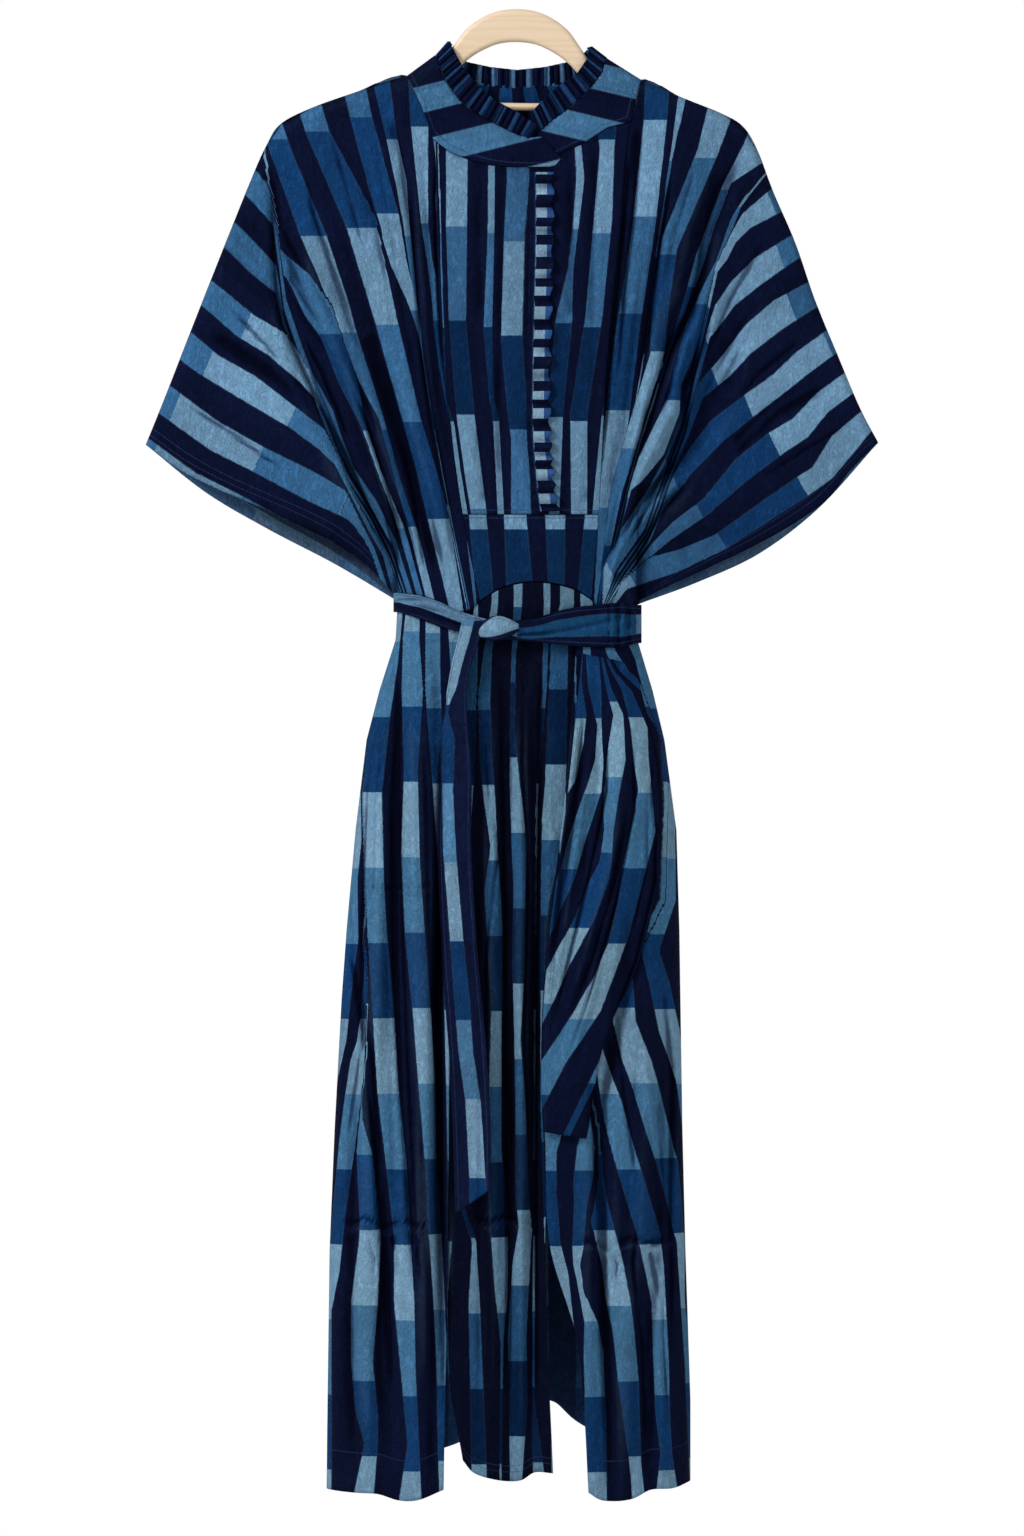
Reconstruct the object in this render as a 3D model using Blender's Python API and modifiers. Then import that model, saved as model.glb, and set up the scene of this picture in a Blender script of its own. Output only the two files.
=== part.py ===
"""Belted kaftan sundress on a wooden hanger, as thin walled cloth pieces that hang together.

Metres, +Z up. X is to the right in the picture and the front faces -Y. The origin is the inner
crown of the hanger's arch, where a hook or a finger holds it.

Outlines are read off the photo by eye in table units: one unit is 0.95 mm, "across" grows to
the right and "down" grows downwards. Depths, walls and gaps are in millimetres.
"""
import math

import bmesh
import bpy
from mathutils import Matrix, Vector

UNIT_MM = 0.95
AXIS_ACROSS = 517
CROWN_DOWN = 42
MM = 0.001

WALL = 1.6
SEAM_BACK = 0.25
RIM_GAP = 0.5
SHOULDER_ROLL = 8.8
CHEST_RISE = 26
WAIST_DEPTH = 40
WAIST_DOWN = 604
WAIST_MIDDLE = 517.5
WAIST_HALF = 119.5
SQUARENESS = 2.6

CENTRE_BEHIND = 7
DRAPE_AHEAD = 6
TAIL_AHEAD = 6
FRILL_AHEAD = 3.7
FRILL_WAVE = 1.5
FRILL_WAVES = 17
COLLAR_PLEATS = 72
COLLAR_WAVE = 1.1
COLLAR_WALL = 1.4
BELT_AHEAD = 3.8
KNOT_AHEAD = 5
HANGER_THICK = 10
HANGER_EDGE = 4.2
HANGER_TILT = 0.85

# Outer line of the dress from the neck over the shoulder and down the arm.
LEFT_SHOULDER = ((437, 54), (407, 76), (357, 92), (312, 108), (281, 124), (267, 145))
LEFT_ARM = ((267, 145), (250, 183), (228, 238), (206, 293), (184, 350), (163, 403), (146, 445))
RIGHT_SHOULDER = ((606, 58), (641, 80), (680, 97), (722, 114), (743, 127), (757, 150))
RIGHT_ARM = ((757, 150), (773, 192), (795, 243), (815, 301), (836, 352), (856, 400), (878, 443))
NECK_LINE = ((437, 54), (606, 58))

# Lines down the cloth of the left front: stripe number, then eight places from the top to the waist.
LEFT_FRONT = (
    (0.0, (407, 76), (433, 140), (436, 215), (438, 290), (443, 368), (453, 446), (464, 523), (480, 602)),
    (0.5, (403, 77), (421, 150), (426, 222), (432, 290), (438, 368), (447, 446), (458, 525), (474, 608)),
    (1.5, (383, 83), (395, 155), (407, 225), (417, 295), (428, 370), (440, 448), (452, 528), (468, 611)),
    (2.5, (357, 92), (374, 155), (393, 218), (409, 290), (422, 365), (434, 446), (446, 528), (461, 613)),
    (3.5, (312, 108), (331, 160), (351, 215), (377, 280), (397, 350), (414, 428), (434, 515), (454, 613)),
    (4.5, (281, 124), (299, 188), (315, 236), (335, 285), (354, 345), (374, 412), (405, 508), (447, 612)),
    (5.0, (267, 145), (283, 200), (302, 250), (326, 302), (348, 354), (371, 420), (402, 510), (443, 612)),
    (5.5, (250, 183), (268, 212), (287, 255), (314, 312), (340, 362), (367, 430), (399, 512), (439, 611)),
    (6.5, (228, 238), (252, 262), (277, 287), (300, 328), (325, 384), (354, 445), (391, 518), (431, 609)),
    (7.5, (206, 293), (238, 314), (268, 334), (299, 366), (326, 405), (354, 455), (387, 523), (423, 607)),
    (8.5, (184, 350), (222, 374), (262, 396), (299, 416), (331, 440), (358, 475), (386, 532), (415, 605)),
    (9.5, (163, 403), (203, 430), (243, 454), (283, 473), (321, 490), (353, 510), (383, 548), (407, 603)),
    (10.3, (146, 445), (180, 470), (215, 488), (252, 504), (290, 521), (328, 540), (364, 563), (399, 600)),
)

RIGHT_FRONT = (
    (0.0, (641, 80), (627, 148), (621, 225), (613, 300), (606, 375), (602, 450), (598, 525), (592, 600)),
    (0.5, (655, 86), (650, 150), (643, 222), (632, 297), (621, 372), (613, 449), (606, 527), (596, 606)),
    (1.5, (680, 97), (671, 155), (659, 222), (646, 295), (633, 370), (622, 448), (612, 529), (599, 611)),
    (2.5, (722, 114), (702, 162), (682, 222), (664, 290), (648, 362), (632, 442), (617, 527), (602, 613)),
    (3.0, (743, 127), (722, 175), (700, 228), (684, 290), (667, 355), (646, 434), (624, 524), (604, 613)),
    (3.5, (757, 150), (735, 190), (713, 230), (698, 286), (680, 348), (657, 426), (630, 519), (606, 613)),
    (4.5, (773, 192), (750, 215), (731, 247), (713, 292), (694, 347), (669, 418), (638, 513), (609, 613)),
    (5.5, (795, 243), (767, 262), (742, 290), (720, 325), (699, 368), (674, 428), (643, 515), (611, 613)),
    (6.5, (815, 301), (784, 320), (754, 345), (725, 374), (702, 408), (678, 453), (648, 522), (614, 612)),
    (7.5, (836, 352), (802, 371), (767, 394), (734, 415), (706, 442), (681, 478), (652, 533), (617, 611)),
    (8.5, (856, 400), (821, 417), (785, 436), (750, 457), (717, 479), (687, 506), (656, 550), (621, 609)),
    (9.3, (868, 425), (835, 452), (801, 480), (765, 505), (729, 528), (692, 548), (659, 574), (626, 606)),
    (10.0, (878, 443), (850, 471), (827, 500), (790, 526), (750, 548), (710, 567), (671, 585), (634, 603)),
)

# The same for the back, five places from the top to the waist.
BACK = (
    (-10.3, (146, 445), (205, 492), (268, 529), (335, 564), (399, 602)),
    (-9.5, (163, 403), (222, 447), (283, 487), (345, 532), (410, 604)),
    (-7.5, (206, 293), (258, 345), (312, 408), (368, 492), (425, 606)),
    (-5.5, (250, 183), (290, 270), (335, 368), (385, 475), (440, 608)),
    (-5.0, (267, 145), (302, 245), (345, 350), (392, 465), (446, 608)),
    (-4.5, (281, 124), (314, 236), (354, 345), (399, 463), (452, 608)),
    (-3.5, (312, 108), (340, 228), (374, 342), (413, 462), (462, 609)),
    (-2.5, (357, 92), (378, 220), (402, 338), (434, 460), (474, 609)),
    (-1.5, (407, 76), (424, 205), (440, 332), (462, 458), (490, 609)),
    (-1.0, (440, 122), (452, 236), (466, 352), (482, 470), (503, 609)),
    (-0.5, (480, 140), (486, 250), (494, 362), (504, 478), (515, 609)),
    (0.0, (524, 144), (524, 254), (524, 366), (525, 480), (526, 609)),
    (0.5, (570, 138), (563, 250), (556, 362), (547, 478), (538, 609)),
    (1.0, (611, 120), (600, 236), (586, 350), (569, 470), (550, 609)),
    (1.5, (641, 80), (622, 207), (604, 334), (584, 458), (562, 609)),
    (2.5, (680, 97), (656, 222), (630, 340), (603, 460), (575, 609)),
    (3.5, (722, 114), (690, 232), (654, 345), (617, 463), (585, 609)),
    (4.0, (743, 127), (706, 243), (664, 352), (622, 466), (591, 608)),
    (4.5, (757, 150), (716, 256), (670, 360), (628, 470), (597, 608)),
    (5.5, (773, 192), (728, 280), (682, 378), (636, 480), (603, 608)),
    (7.5, (815, 301), (762, 352), (706, 415), (652, 495), (612, 607)),
    (9.5, (856, 400), (796, 446), (735, 488), (676, 535), (625, 606)),
    (10.3, (878, 443), (820, 507), (760, 553), (698, 582), (636, 605)),
)

# Collar: where its base is sewn, where its free edge is, and the side it is on (-1 front, 1 back).
COLLAR = (
    ((530, 140), (539, 127), -1), ((508, 131), (517, 112), -1), ((486, 119), (496, 101), -1),
    ((463, 105), (478, 86), -1), ((446, 82), (463, 67), -1), ((439, 66), (455, 52), -1),
    ((437, 54), (449, 41), 0), ((446, 65), (454, 51), 1), ((463, 78), (467, 61), 1),
    ((490, 84), (490, 66), 1), ((517, 86), (517, 69), 1), ((545, 84), (545, 66), 1),
    ((570, 80), (568, 61), 1), ((590, 70), (580, 56), 1), ((606, 58), (590, 46), 0),
    ((602, 73), (586, 60), -1), ((591, 88), (578, 72), -1), ((570, 108), (556, 88), -1),
    ((552, 121), (542, 101), -1), ((537, 134), (529, 115), -1),
)

# Yokes: the collar side and the outer seam, point against point.
YOKE_LEFT = (
    ((437, 54), (407, 76)), ((439, 66), (421.5, 107)), ((446, 82), (433, 140)), ((463, 105), (450, 153)),
    ((486, 119), (470, 161)), ((497, 125), (490, 166)), ((508, 131), (510, 168)),
    ((519, 136), (531, 168)), ((530, 140), (552, 167)),
)
YOKE_RIGHT = (
    ((606, 58), (641, 80)), ((602, 73), (637, 97)), ((591, 88), (632, 122)), ((570, 108), (608, 128)),
    ((552, 121), (585, 143)), ((544, 128), (565, 152)), ((537, 134), (545, 162)),
)
YOKE_BACK = (
    (-1.5, 437, 54), (-1.25, 446, 65), (-1, 463, 78), (-0.5, 490, 84), (0, 517, 86), (0.5, 545, 84), (1, 570, 80),
    (1.25, 590, 70), (1.5, 606, 58),
)

BODICE_TOP_LEFT = ((433, 140), (450, 153), (470, 161), (490, 166), (510, 168), (541, 168))
BODICE_TOP_RIGHT = ((541, 168.5), (554, 168), (565, 152.5), (585, 143.5), (608, 128.5), (631.8, 122.3))
BODICE_BOTTOM = 515
PLACKET = ((541, 168), (541, 250), (539, 330), (538, 420), (541, 470), (546, 515))
BAND_LOW = ((480, 602), (498, 590), (516, 584), (535, 582), (554, 584), (573, 589), (592, 600))

# Skirt: down, left outline, right outline, depth in mm from the middle to the front.
SKIRT = (
    (604, 398, 637, 40), (640, 396, 637, 40), (690, 380, 652, 46), (740, 367, 664, 54), (830, 356, 676, 58),
    (930, 347, 679, 61), (1000, 342, 680, 63), (1130, 335, 682, 66), (1250, 330, 685, 68),
    (1400, 328, 690, 70), (1500, 327, 690, 70),
)
LEFT_PANEL_EDGE = ((470, 615), (469, 650), (461, 740), (455, 830), (451, 960), (449, 1150), (447, 1300), (444, 1486))
LEFT_PANEL_TOP = ((398, 604), (430, 610), (454, 614), (470, 613.5))
LEFT_PANEL_HEM = ((327, 1488), (352, 1490), (378, 1491), (400, 1497), (420, 1496), (444, 1486))
CENTRE_LEFT = ((474, 608), (469, 660), (452, 740), (440, 840), (434, 1000), (434, 1200), (447, 1360), (463, 1457))
CENTRE_RIGHT = ((596, 607), (592, 660), (584, 750), (575, 850), (562, 960), (555, 1100), (545, 1250), (553, 1470))
CENTRE_TOP = ((474, 608), (480, 603), (498, 591), (516, 585), (535, 583), (554, 585), (573, 590), (590, 600), (596, 607))
CENTRE_HEM = ((463, 1457), (475, 1470), (500, 1477), (520, 1477), (535, 1469), (553, 1470))
RIGHT_PANEL_EDGE = (
    (578, 615), (575, 660), (566, 780), (555, 880), (545, 970), (541, 1060), (545, 1140), (549, 1240), (575, 1330),
    (583, 1400), (588, 1489),
)
RIGHT_PANEL_TOP = ((578, 615), (600, 615.5), (620, 611.5), (637, 604))
RIGHT_PANEL_HEM = ((588, 1489), (603, 1497), (630, 1496), (650, 1487), (672, 1486), (690, 1480))
DRAPE_LEFT = ((582, 654), (573, 740), (562, 840), (550, 930), (543, 1010), (541, 1070), (543, 1130))
DRAPE_RIGHT = ((634, 664), (648, 722), (660, 785), (658, 870), (640, 955), (604, 1040), (586, 1137))
SKIRT_BACK_TOP = ((398, 605), (428, 609), (458, 610.3), (518, 610.3), (578, 610.3), (610, 609.6), (637, 606.3))
BACK_HEM = ((327, 1470), (400, 1462), (455, 1448), (500, 1424), (547, 1404), (580, 1427), (640, 1460), (690, 1470))

# Largest folds: half width in table units, depth in mm (below 0 a trough), then the line it follows.
UPPER_FOLDS = (
    (24, -11, (284, 180), (288, 290), (312, 375), (347, 450), (385, 525), (405, 570)),
    (16, 5, (292, 245), (330, 315), (362, 395), (398, 500)),
    (15, -8, (372, 345), (400, 430), (425, 520), (440, 575)),
    (18, 4, (340, 180), (388, 325), (418, 440), (446, 560)),
    (11, -6, (420, 160), (434, 290), (440, 390), (452, 500)),
    (11, -3, (388, 110), (402, 170), (414, 255)),
    (16, -3, (205, 330), (255, 362), (320, 410)),
    (18, -8, (738, 150), (704, 235), (690, 300), (655, 380)),
    (28, -13, (738, 275), (718, 380), (690, 440), (652, 500), (618, 575)),
    (14, 6, (682, 395), (655, 445), (632, 490)),
    (14, 5, (688, 460), (640, 525), (606, 585)),
    (14, -6, (656, 240), (640, 345), (626, 430), (610, 520)),
    (12, -4, (640, 110), (630, 200), (618, 330), (606, 480)),
    (18, -3, (830, 380), (770, 415), (725, 455)),
    (9, -2.5, (478, 168), (478, 250), (482, 330)),
    (9, -2.5, (500, 172), (500, 260), (498, 420), (502, 510)),
    (9, -2.5, (568, 158), (572, 260), (570, 330)),
    (9, -2.5, (596, 140), (592, 230), (590, 350)),
    (9, -2, (476, 420), (482, 470), (486, 510)),
    (9, -2, (590, 420), (588, 470), (586, 510)),
)
BACK_FOLDS = (
    (26, -10, (286, 190), (300, 300), (340, 400), (392, 520), (412, 580)),
    (22, -7, (380, 250), (420, 400), (455, 560)),
    (20, -5, (480, 160), (490, 340), (505, 560)),
    (20, 4, (524, 160), (524, 360), (525, 580)),
    (20, -5, (568, 160), (556, 340), (540, 560)),
    (22, -7, (660, 250), (625, 400), (582, 560)),
    (26, -10, (740, 190), (716, 300), (674, 400), (630, 520), (612, 580)),
    (18, 4, (330, 200), (370, 340), (425, 500)),
    (18, 4, (700, 200), (660, 340), (610, 500)),
)
SKIRT_FOLDS = (
    (15, -6, (404, 650), (393, 780), (393, 950), (392, 1150), (384, 1320), (383, 1500)),
    (13, -5, (366, 900), (352, 1100), (348, 1300), (350, 1500)),
    (12, -6, (436, 660), (440, 800), (438, 1000), (438, 1250), (432, 1500)),
    (14, 4, (418, 700), (417, 900), (424, 1150), (410, 1500)),
    (13, 4, (380, 780), (374, 1000), (364, 1250), (366, 1500)),
    (12, -5, (504, 640), (506, 900), (508, 1200), (511, 1500)),
    (13, -6, (538, 650), (536, 900), (533, 1200), (534, 1500)),
    (11, 4, (521, 700), (522, 1000), (521, 1500)),
    (12, 4, (488, 760), (490, 1100), (488, 1500)),
    (13, -5, (600, 670), (594, 780), (574, 920), (556, 1010)),
    (14, 4, (628, 700), (612, 850), (582, 1000), (560, 1080)),
    (14, -5, (640, 880), (622, 1000), (602, 1100), (600, 1250), (604, 1500)),
    (14, 4, (650, 1000), (640, 1200), (624, 1350), (622, 1500)),
    (13, -5, (670, 1000), (662, 1200), (648, 1350), (648, 1500)),
    (10, -3, (676, 700), (672, 900)),
)
SKIRT_BACK_FOLDS = (
    (20, -6, (440, 650), (410, 900), (385, 1200), (378, 1500)),
    (20, 5, (470, 650), (455, 900), (440, 1200), (430, 1500)),
    (20, -6, (500, 650), (495, 900), (485, 1200), (480, 1500)),
    (20, 5, (520, 650), (525, 900), (528, 1200), (530, 1500)),
    (20, -6, (545, 650), (560, 900), (575, 1200), (580, 1500)),
    (20, 5, (570, 650), (595, 900), (615, 1200), (625, 1500)),
    (18, -5, (600, 650), (630, 900), (650, 1200), (655, 1500)),
)

# Belt: across, upper edge, lower edge, both as down. Front from left to right, then the back.
BELT_FRONT = (
    (398, 601, 617), (420, 599, 624), (440, 603, 631), (460, 610, 636), (480, 617, 641), (500, 619, 644),
    (520, 617, 646), (540, 613, 648), (560, 610, 650), (580, 606, 652), (600, 604, 653), (620, 603, 650),
    (637, 608, 645),
)
BELT_BACK = ((600, 602, 638), (560, 602, 636), (518, 602, 635), (475, 601, 631), (435, 600, 624))
TAIL = (
    (486, 646.5, 9), (477, 660, 11), (465, 680, 13), (458, 715, 15), (456, 770, 16), (455, 850, 17), (460, 950, 18),
    (468, 1050, 19), (472, 1130, 19), (473, 1199, 18),
)

# Hanger outline in millimetres from the crown, right half: board top, board underside with the bar, arch opening.
BOARD_TOP = (
    (0, 31.4), (18, 29.2), (34, 22.5), (48, 12), (58, -1), (67, -14), (77, -25), (90, -32.5), (106, -39),
    (118, -41), (128, -43.8), (140, -48), (152, -52.6), (195, -69), (204, -74), (209, -82),
)
BOARD_UNDER = ((207, -92), (198, -95), (160, -82), (120, -68.5), (92, -65.5))
EYE = ((0, 0), (16, -1.6), (30, -7), (44, -15.5), (56, -27), (66, -41), (78, -56))

SHADES = {
    "collar": (0.010, 0.019, 0.070),
    "yoke_front_left": (0.030, 0.090, 0.200),
    "yoke_front_right": (0.040, 0.130, 0.270),
    "yoke_back": (0.020, 0.060, 0.160),
    "bodice_left": (0.030, 0.100, 0.220),
    "bodice_right": (0.030, 0.090, 0.200),
    "placket_frill": (0.014, 0.022, 0.085),
    "midriff_band": (0.010, 0.045, 0.120),
    "front_left": (0.035, 0.110, 0.250),
    "front_right": (0.040, 0.120, 0.260),
    "back_body": (0.030, 0.090, 0.210),
    "skirt_front_left": (0.040, 0.120, 0.270),
    "skirt_front_centre": (0.010, 0.040, 0.110),
    "skirt_front_right": (0.030, 0.100, 0.230),
    "skirt_drape": (0.035, 0.110, 0.240),
    "skirt_back": (0.030, 0.090, 0.210),
    "belt": (0.012, 0.040, 0.120),
    "belt_knot": (0.080, 0.200, 0.360),
    "belt_tail": (0.050, 0.150, 0.330),
    "hanger": (0.800, 0.620, 0.400),
}


def ease(t):
    t = min(max(t, 0.0), 1.0)
    return t * t * (3 - 2 * t)


def mix(a, b, t):
    return a + (b - a) * t


def between(a, b, t):
    return (mix(a[0], b[0], t), mix(a[1], b[1], t))


def smooth_through(points, t):
    """A smooth line through evenly counted points, t from 0 at the first to 1 at the last."""
    spans = len(points) - 1
    at = min(max(t, 0.0), 1.0) * spans
    i = min(int(at), spans - 1)
    f = at - i
    b, c = points[i], points[i + 1]
    a = points[i - 1] if i else tuple(2 * m - n for m, n in zip(b, c))
    d = points[i + 2] if i + 2 <= spans else tuple(2 * n - m for m, n in zip(b, c))
    return tuple(
        0.5 * (2 * q + (r - p) * f + (2 * p - 5 * q + 4 * r - s) * f * f + (3 * q - 3 * r + s - p) * f ** 3)
        for p, q, r, s in zip(a, b, c, d)
    )


def straight_through(points, t):
    spans = len(points) - 1
    at = min(max(t, 0.0), 1.0) * spans
    i = min(int(at), spans - 1)
    return between(points[i], points[i + 1], at - i)


def nearest(line, across, down):
    """Distance from a place to a line of points, and how far along the line that is."""
    best, where = 1e9, 0.0
    for i, (a, b) in enumerate(zip(line, line[1:])):
        run = (b[0] - a[0], b[1] - a[1])
        t = ((across - a[0]) * run[0] + (down - a[1]) * run[1]) / (run[0] ** 2 + run[1] ** 2)
        t = min(max(t, 0.0), 1.0)
        gap = math.hypot(a[0] + run[0] * t - across, a[1] + run[1] * t - down)
        if gap < best:
            best, where = gap, (i + t) / (len(line) - 1)
    return best, where


def folded(folds, across, down):
    """Sum of the folds at a place in mm. Each fades out at both ends of its line."""
    total = 0.0
    for half, depth, *line in folds:
        if not min(p[1] for p in line) - half < down < max(p[1] for p in line) + half:
            continue
        gap, along = nearest(line, across, down)
        if gap < half:
            fade = 0.25 + 0.75 * ease(min(along, 1 - along) / 0.2)
            total += depth * fade * (1 - (gap / half) ** 2) ** 2
    return total


def girth(x, half, depth):
    """Depth of a rounded cross section at x from its middle."""
    return depth * (1 - min(abs(x / half), 1.0) ** SQUARENESS) ** (1 / SQUARENESS)


def lie(across, down):
    """How far the upper dress stands from the middle plane, folds left out, in mm."""
    shoulder = min(nearest(line, across, down)[0] for line in (LEFT_SHOULDER, RIGHT_SHOULDER, NECK_LINE))
    arm = min(nearest(line, across, down)[0] for line in (LEFT_ARM, RIGHT_ARM))
    soft = 0.3 * min(shoulder, arm)
    drop = UNIT_MM * (shoulder + arm - math.hypot(shoulder - arm, soft)) / 2
    inward = SHOULDER_ROLL - min(drop, SHOULDER_ROLL)
    depth = math.sqrt(SHOULDER_ROLL ** 2 - inward ** 2)
    depth += CHEST_RISE * ease((drop - SHOULDER_ROLL) / 230)
    waist = math.hypot(girth(across - WAIST_MIDDLE, WAIST_HALF, WAIST_DEPTH), 5)
    return mix(depth, waist, ease((down - 470) / 130))


def upper(across, down, folds=UPPER_FOLDS):
    depth = lie(across, down)
    fold = folded(folds, across, down) * ease((depth - 3) / 8) * (1 - ease((down - 560) / 40))
    return max(depth + fold, min(depth, 3.0))


def row_of(table, down):
    """The row of a table at a height, each number between its neighbours."""
    for low, high in zip(table, table[1:]):
        if down <= high[0]:
            break
    t = min(max((down - low[0]) / (high[0] - low[0]), 0.0), 1.0)
    return [mix(a, b, t) for a, b in zip(low, high)]


def skirt(across, down, folds=SKIRT_FOLDS):
    """How far the skirt stands from the middle plane, in mm."""
    _, left, right, depth = row_of(SKIRT, down)
    base = girth(across - (left + right) / 2, (right - left) / 2, depth)
    return base + folded(folds, across, down) * ease((base - 4) / 14) * ease((down - 640) / 60)


def place(across, down, y):
    return Vector(((across - AXIS_ACROSS) * UNIT_MM * MM, y * MM, (CROWN_DOWN - down) * UNIT_MM * MM))


def patch(left, right, top, bottom, u, v):
    """A place inside four edges that meet at the corners."""
    a, b, c, d = left(v), right(v), top(u), bottom(u)
    e, f, g, h = left(0), right(0), left(1), right(1)
    return tuple(
        (1 - u) * a[i] + u * b[i] + (1 - v) * c[i] + v * d[i]
        - (1 - u) * (1 - v) * e[i] - u * (1 - v) * f[i] - (1 - u) * v * g[i] - u * v * h[i]
        for i in (0, 1)
    )


def smooth(points):
    return lambda t: smooth_through(points, t)


def part_of(points, first, last):
    return lambda t: smooth_through(points, mix(first, last, t))


def steps(count, first=0.0, last=1.0):
    return [mix(first, last, i / count) for i in range(count + 1)]


def material_for(name):
    shade = SHADES[name]
    made = bpy.data.materials.new(name)
    made.use_nodes = True
    skin = made.node_tree.nodes["Principled BSDF"]
    skin.inputs["Base Color"].default_value = (*shade, 1)
    skin.inputs["Roughness"].default_value = 0.45 if name == "hanger" else 0.9
    skin.inputs["Metallic"].default_value = 0
    made.diffuse_color = (*shade, 1)
    return made


def add(name, mesh):
    piece = bpy.data.objects.new(name, mesh)
    mesh.materials.append(material_for(name))
    group.objects.link(piece)
    return piece


def cloth(name, surface, columns, rows, wall=WALL, closed=False, set_back=SEAM_BACK):
    """A sheet over the given columns and rows, thickened. Its cut edges stand back from the seams."""
    spots = [[surface(u, v) for v in rows] for u in columns]
    last_column, last_row = len(columns) - 1, len(rows) - 1
    if not closed:
        for j in range(last_row + 1):
            for i, step in ((0, 1), (last_column, -1)):
                inward = spots[i + step][j] - spots[i][j]
                spots[i][j] = spots[i][j] + inward.normalized() * set_back * MM
    for i in range(last_column + 1):
        for j, step in ((0, 1), (last_row, -1)):
            inward = spots[i][j + step] - spots[i][j]
            spots[i][j] = spots[i][j] + inward.normalized() * set_back * MM
    sheet = bmesh.new()
    bmesh.ops.create_grid(sheet, x_segments=last_column, y_segments=last_row, size=0.5)
    for vert in sheet.verts:
        i = round((vert.co.x + 0.5) * last_column)
        j = round((0.5 - vert.co.y) * last_row)
        vert.co = spots[i][j]
    if closed:
        bmesh.ops.remove_doubles(sheet, verts=sheet.verts, dist=0.00001)
    mesh = bpy.data.meshes.new(name)
    sheet.to_mesh(mesh)
    sheet.free()
    piece = add(name, mesh)
    thick = piece.modifiers.new("wall", "SOLIDIFY")
    thick.thickness = wall * MM
    thick.offset = 0
    mesh.shade_smooth()
    mesh.set_sharp_from_angle(angle=math.radians(50))
    return piece


def crossing(table, u, v):
    """The place on a set of lines down the cloth, at stripe number u and fraction v of the way down."""
    i = max(k for k in range(len(table) - 1) if table[k][0] <= u + 1e-9)
    f = (u - table[i][0]) / (table[i + 1][0] - table[i][0])
    points = [smooth_through(row[1:], v) for row in table]
    return smooth_through(points, (i + f) / (len(table) - 1))


def rim_distance(across, down):
    lines = (LEFT_SHOULDER, RIGHT_SHOULDER, LEFT_ARM, RIGHT_ARM)
    return min(nearest(line, across, down)[0] for line in lines)


def net_surface(table, side, folds):
    """A sheet through lines down the cloth. Where its top edge is on the outline it meets the other side."""
    def surface(u, v):
        across, down = crossing(table, u, v)
        on_rim = v == 0 and rim_distance(across, down) < 3
        return place(across, down, side * (RIM_GAP if on_rim else upper(across, down, folds)))

    return surface


def rolled_rows(spans):
    """Rows close together round the roll at the top, then two to each span of the table."""
    return [0, 0.003, 0.0105, 0.021] + [k / (2 * spans) for k in range(1, 2 * spans + 1)]


def halves(table):
    numbers = [row[0] for row in table]
    found = []
    for a, b in zip(numbers, numbers[1:]):
        found += [a, (a + b) / 2] if b - a > 0.6 else [a]
    return found + [numbers[-1]]


BACK_YOKE_COLUMNS = (-1.5, -1.47, -1.4, -1.25, -1, -0.5, 0, 0.5, 1, 1.25, 1.4, 1.47, 1.5)


def build_sides():
    cloth("front_left", net_surface(LEFT_FRONT, -1, UPPER_FOLDS), halves(LEFT_FRONT), rolled_rows(7))
    cloth("front_right", net_surface(RIGHT_FRONT, -1, UPPER_FOLDS), halves(RIGHT_FRONT), rolled_rows(7))
    outside = [u for u in halves(BACK) if abs(u) > 1.5]
    across_back = sorted(outside + list(BACK_YOKE_COLUMNS))
    cloth("back_body", net_surface(BACK, 1, BACK_FOLDS), across_back, rolled_rows(6))


def ribbon_surface(pairs, lift=lambda u: 0.0):
    """A front sheet between two rows of points, the first point of each pair at v = 0."""
    inner = [pair[0] for pair in pairs]
    outer = [pair[1] for pair in pairs]

    def surface(u, v):
        across, down = between(straight_through(inner, u), straight_through(outer, u), v)
        return place(across, down, -(RIM_GAP if u == 0 else upper(across, down, ()) + lift(u)))

    return surface


def yoke_back_surface(u, v):
    across, down = between(row_of(YOKE_BACK, u)[1:], crossing(BACK, u, 0), v)
    return place(across, down, RIM_GAP if abs(u) == 1.5 else upper(across, down, ()))


def build_yokes():
    rows = steps(3)
    left = [0, 0.02, 0.06] + steps(15, 0.125, 1)
    right = [0, 0.03, 0.08] + steps(12, 0.167, 1)
    under = lambda u: -2.6 * ease((u - 0.6) / 0.35)
    cloth("yoke_front_left", ribbon_surface(YOKE_LEFT), left, rows, set_back=0.4)
    cloth("yoke_front_right", ribbon_surface(YOKE_RIGHT, under), right, rows, set_back=0.4)
    cloth("yoke_back", yoke_back_surface, BACK_YOKE_COLUMNS, rows, set_back=1.25)


def flat_surface(left, right, top, bottom, folds=UPPER_FOLDS):
    def surface(u, v):
        across, down = patch(left, right, top, bottom, u, v)
        return place(across, down, -upper(across, down, folds))

    return surface


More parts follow.
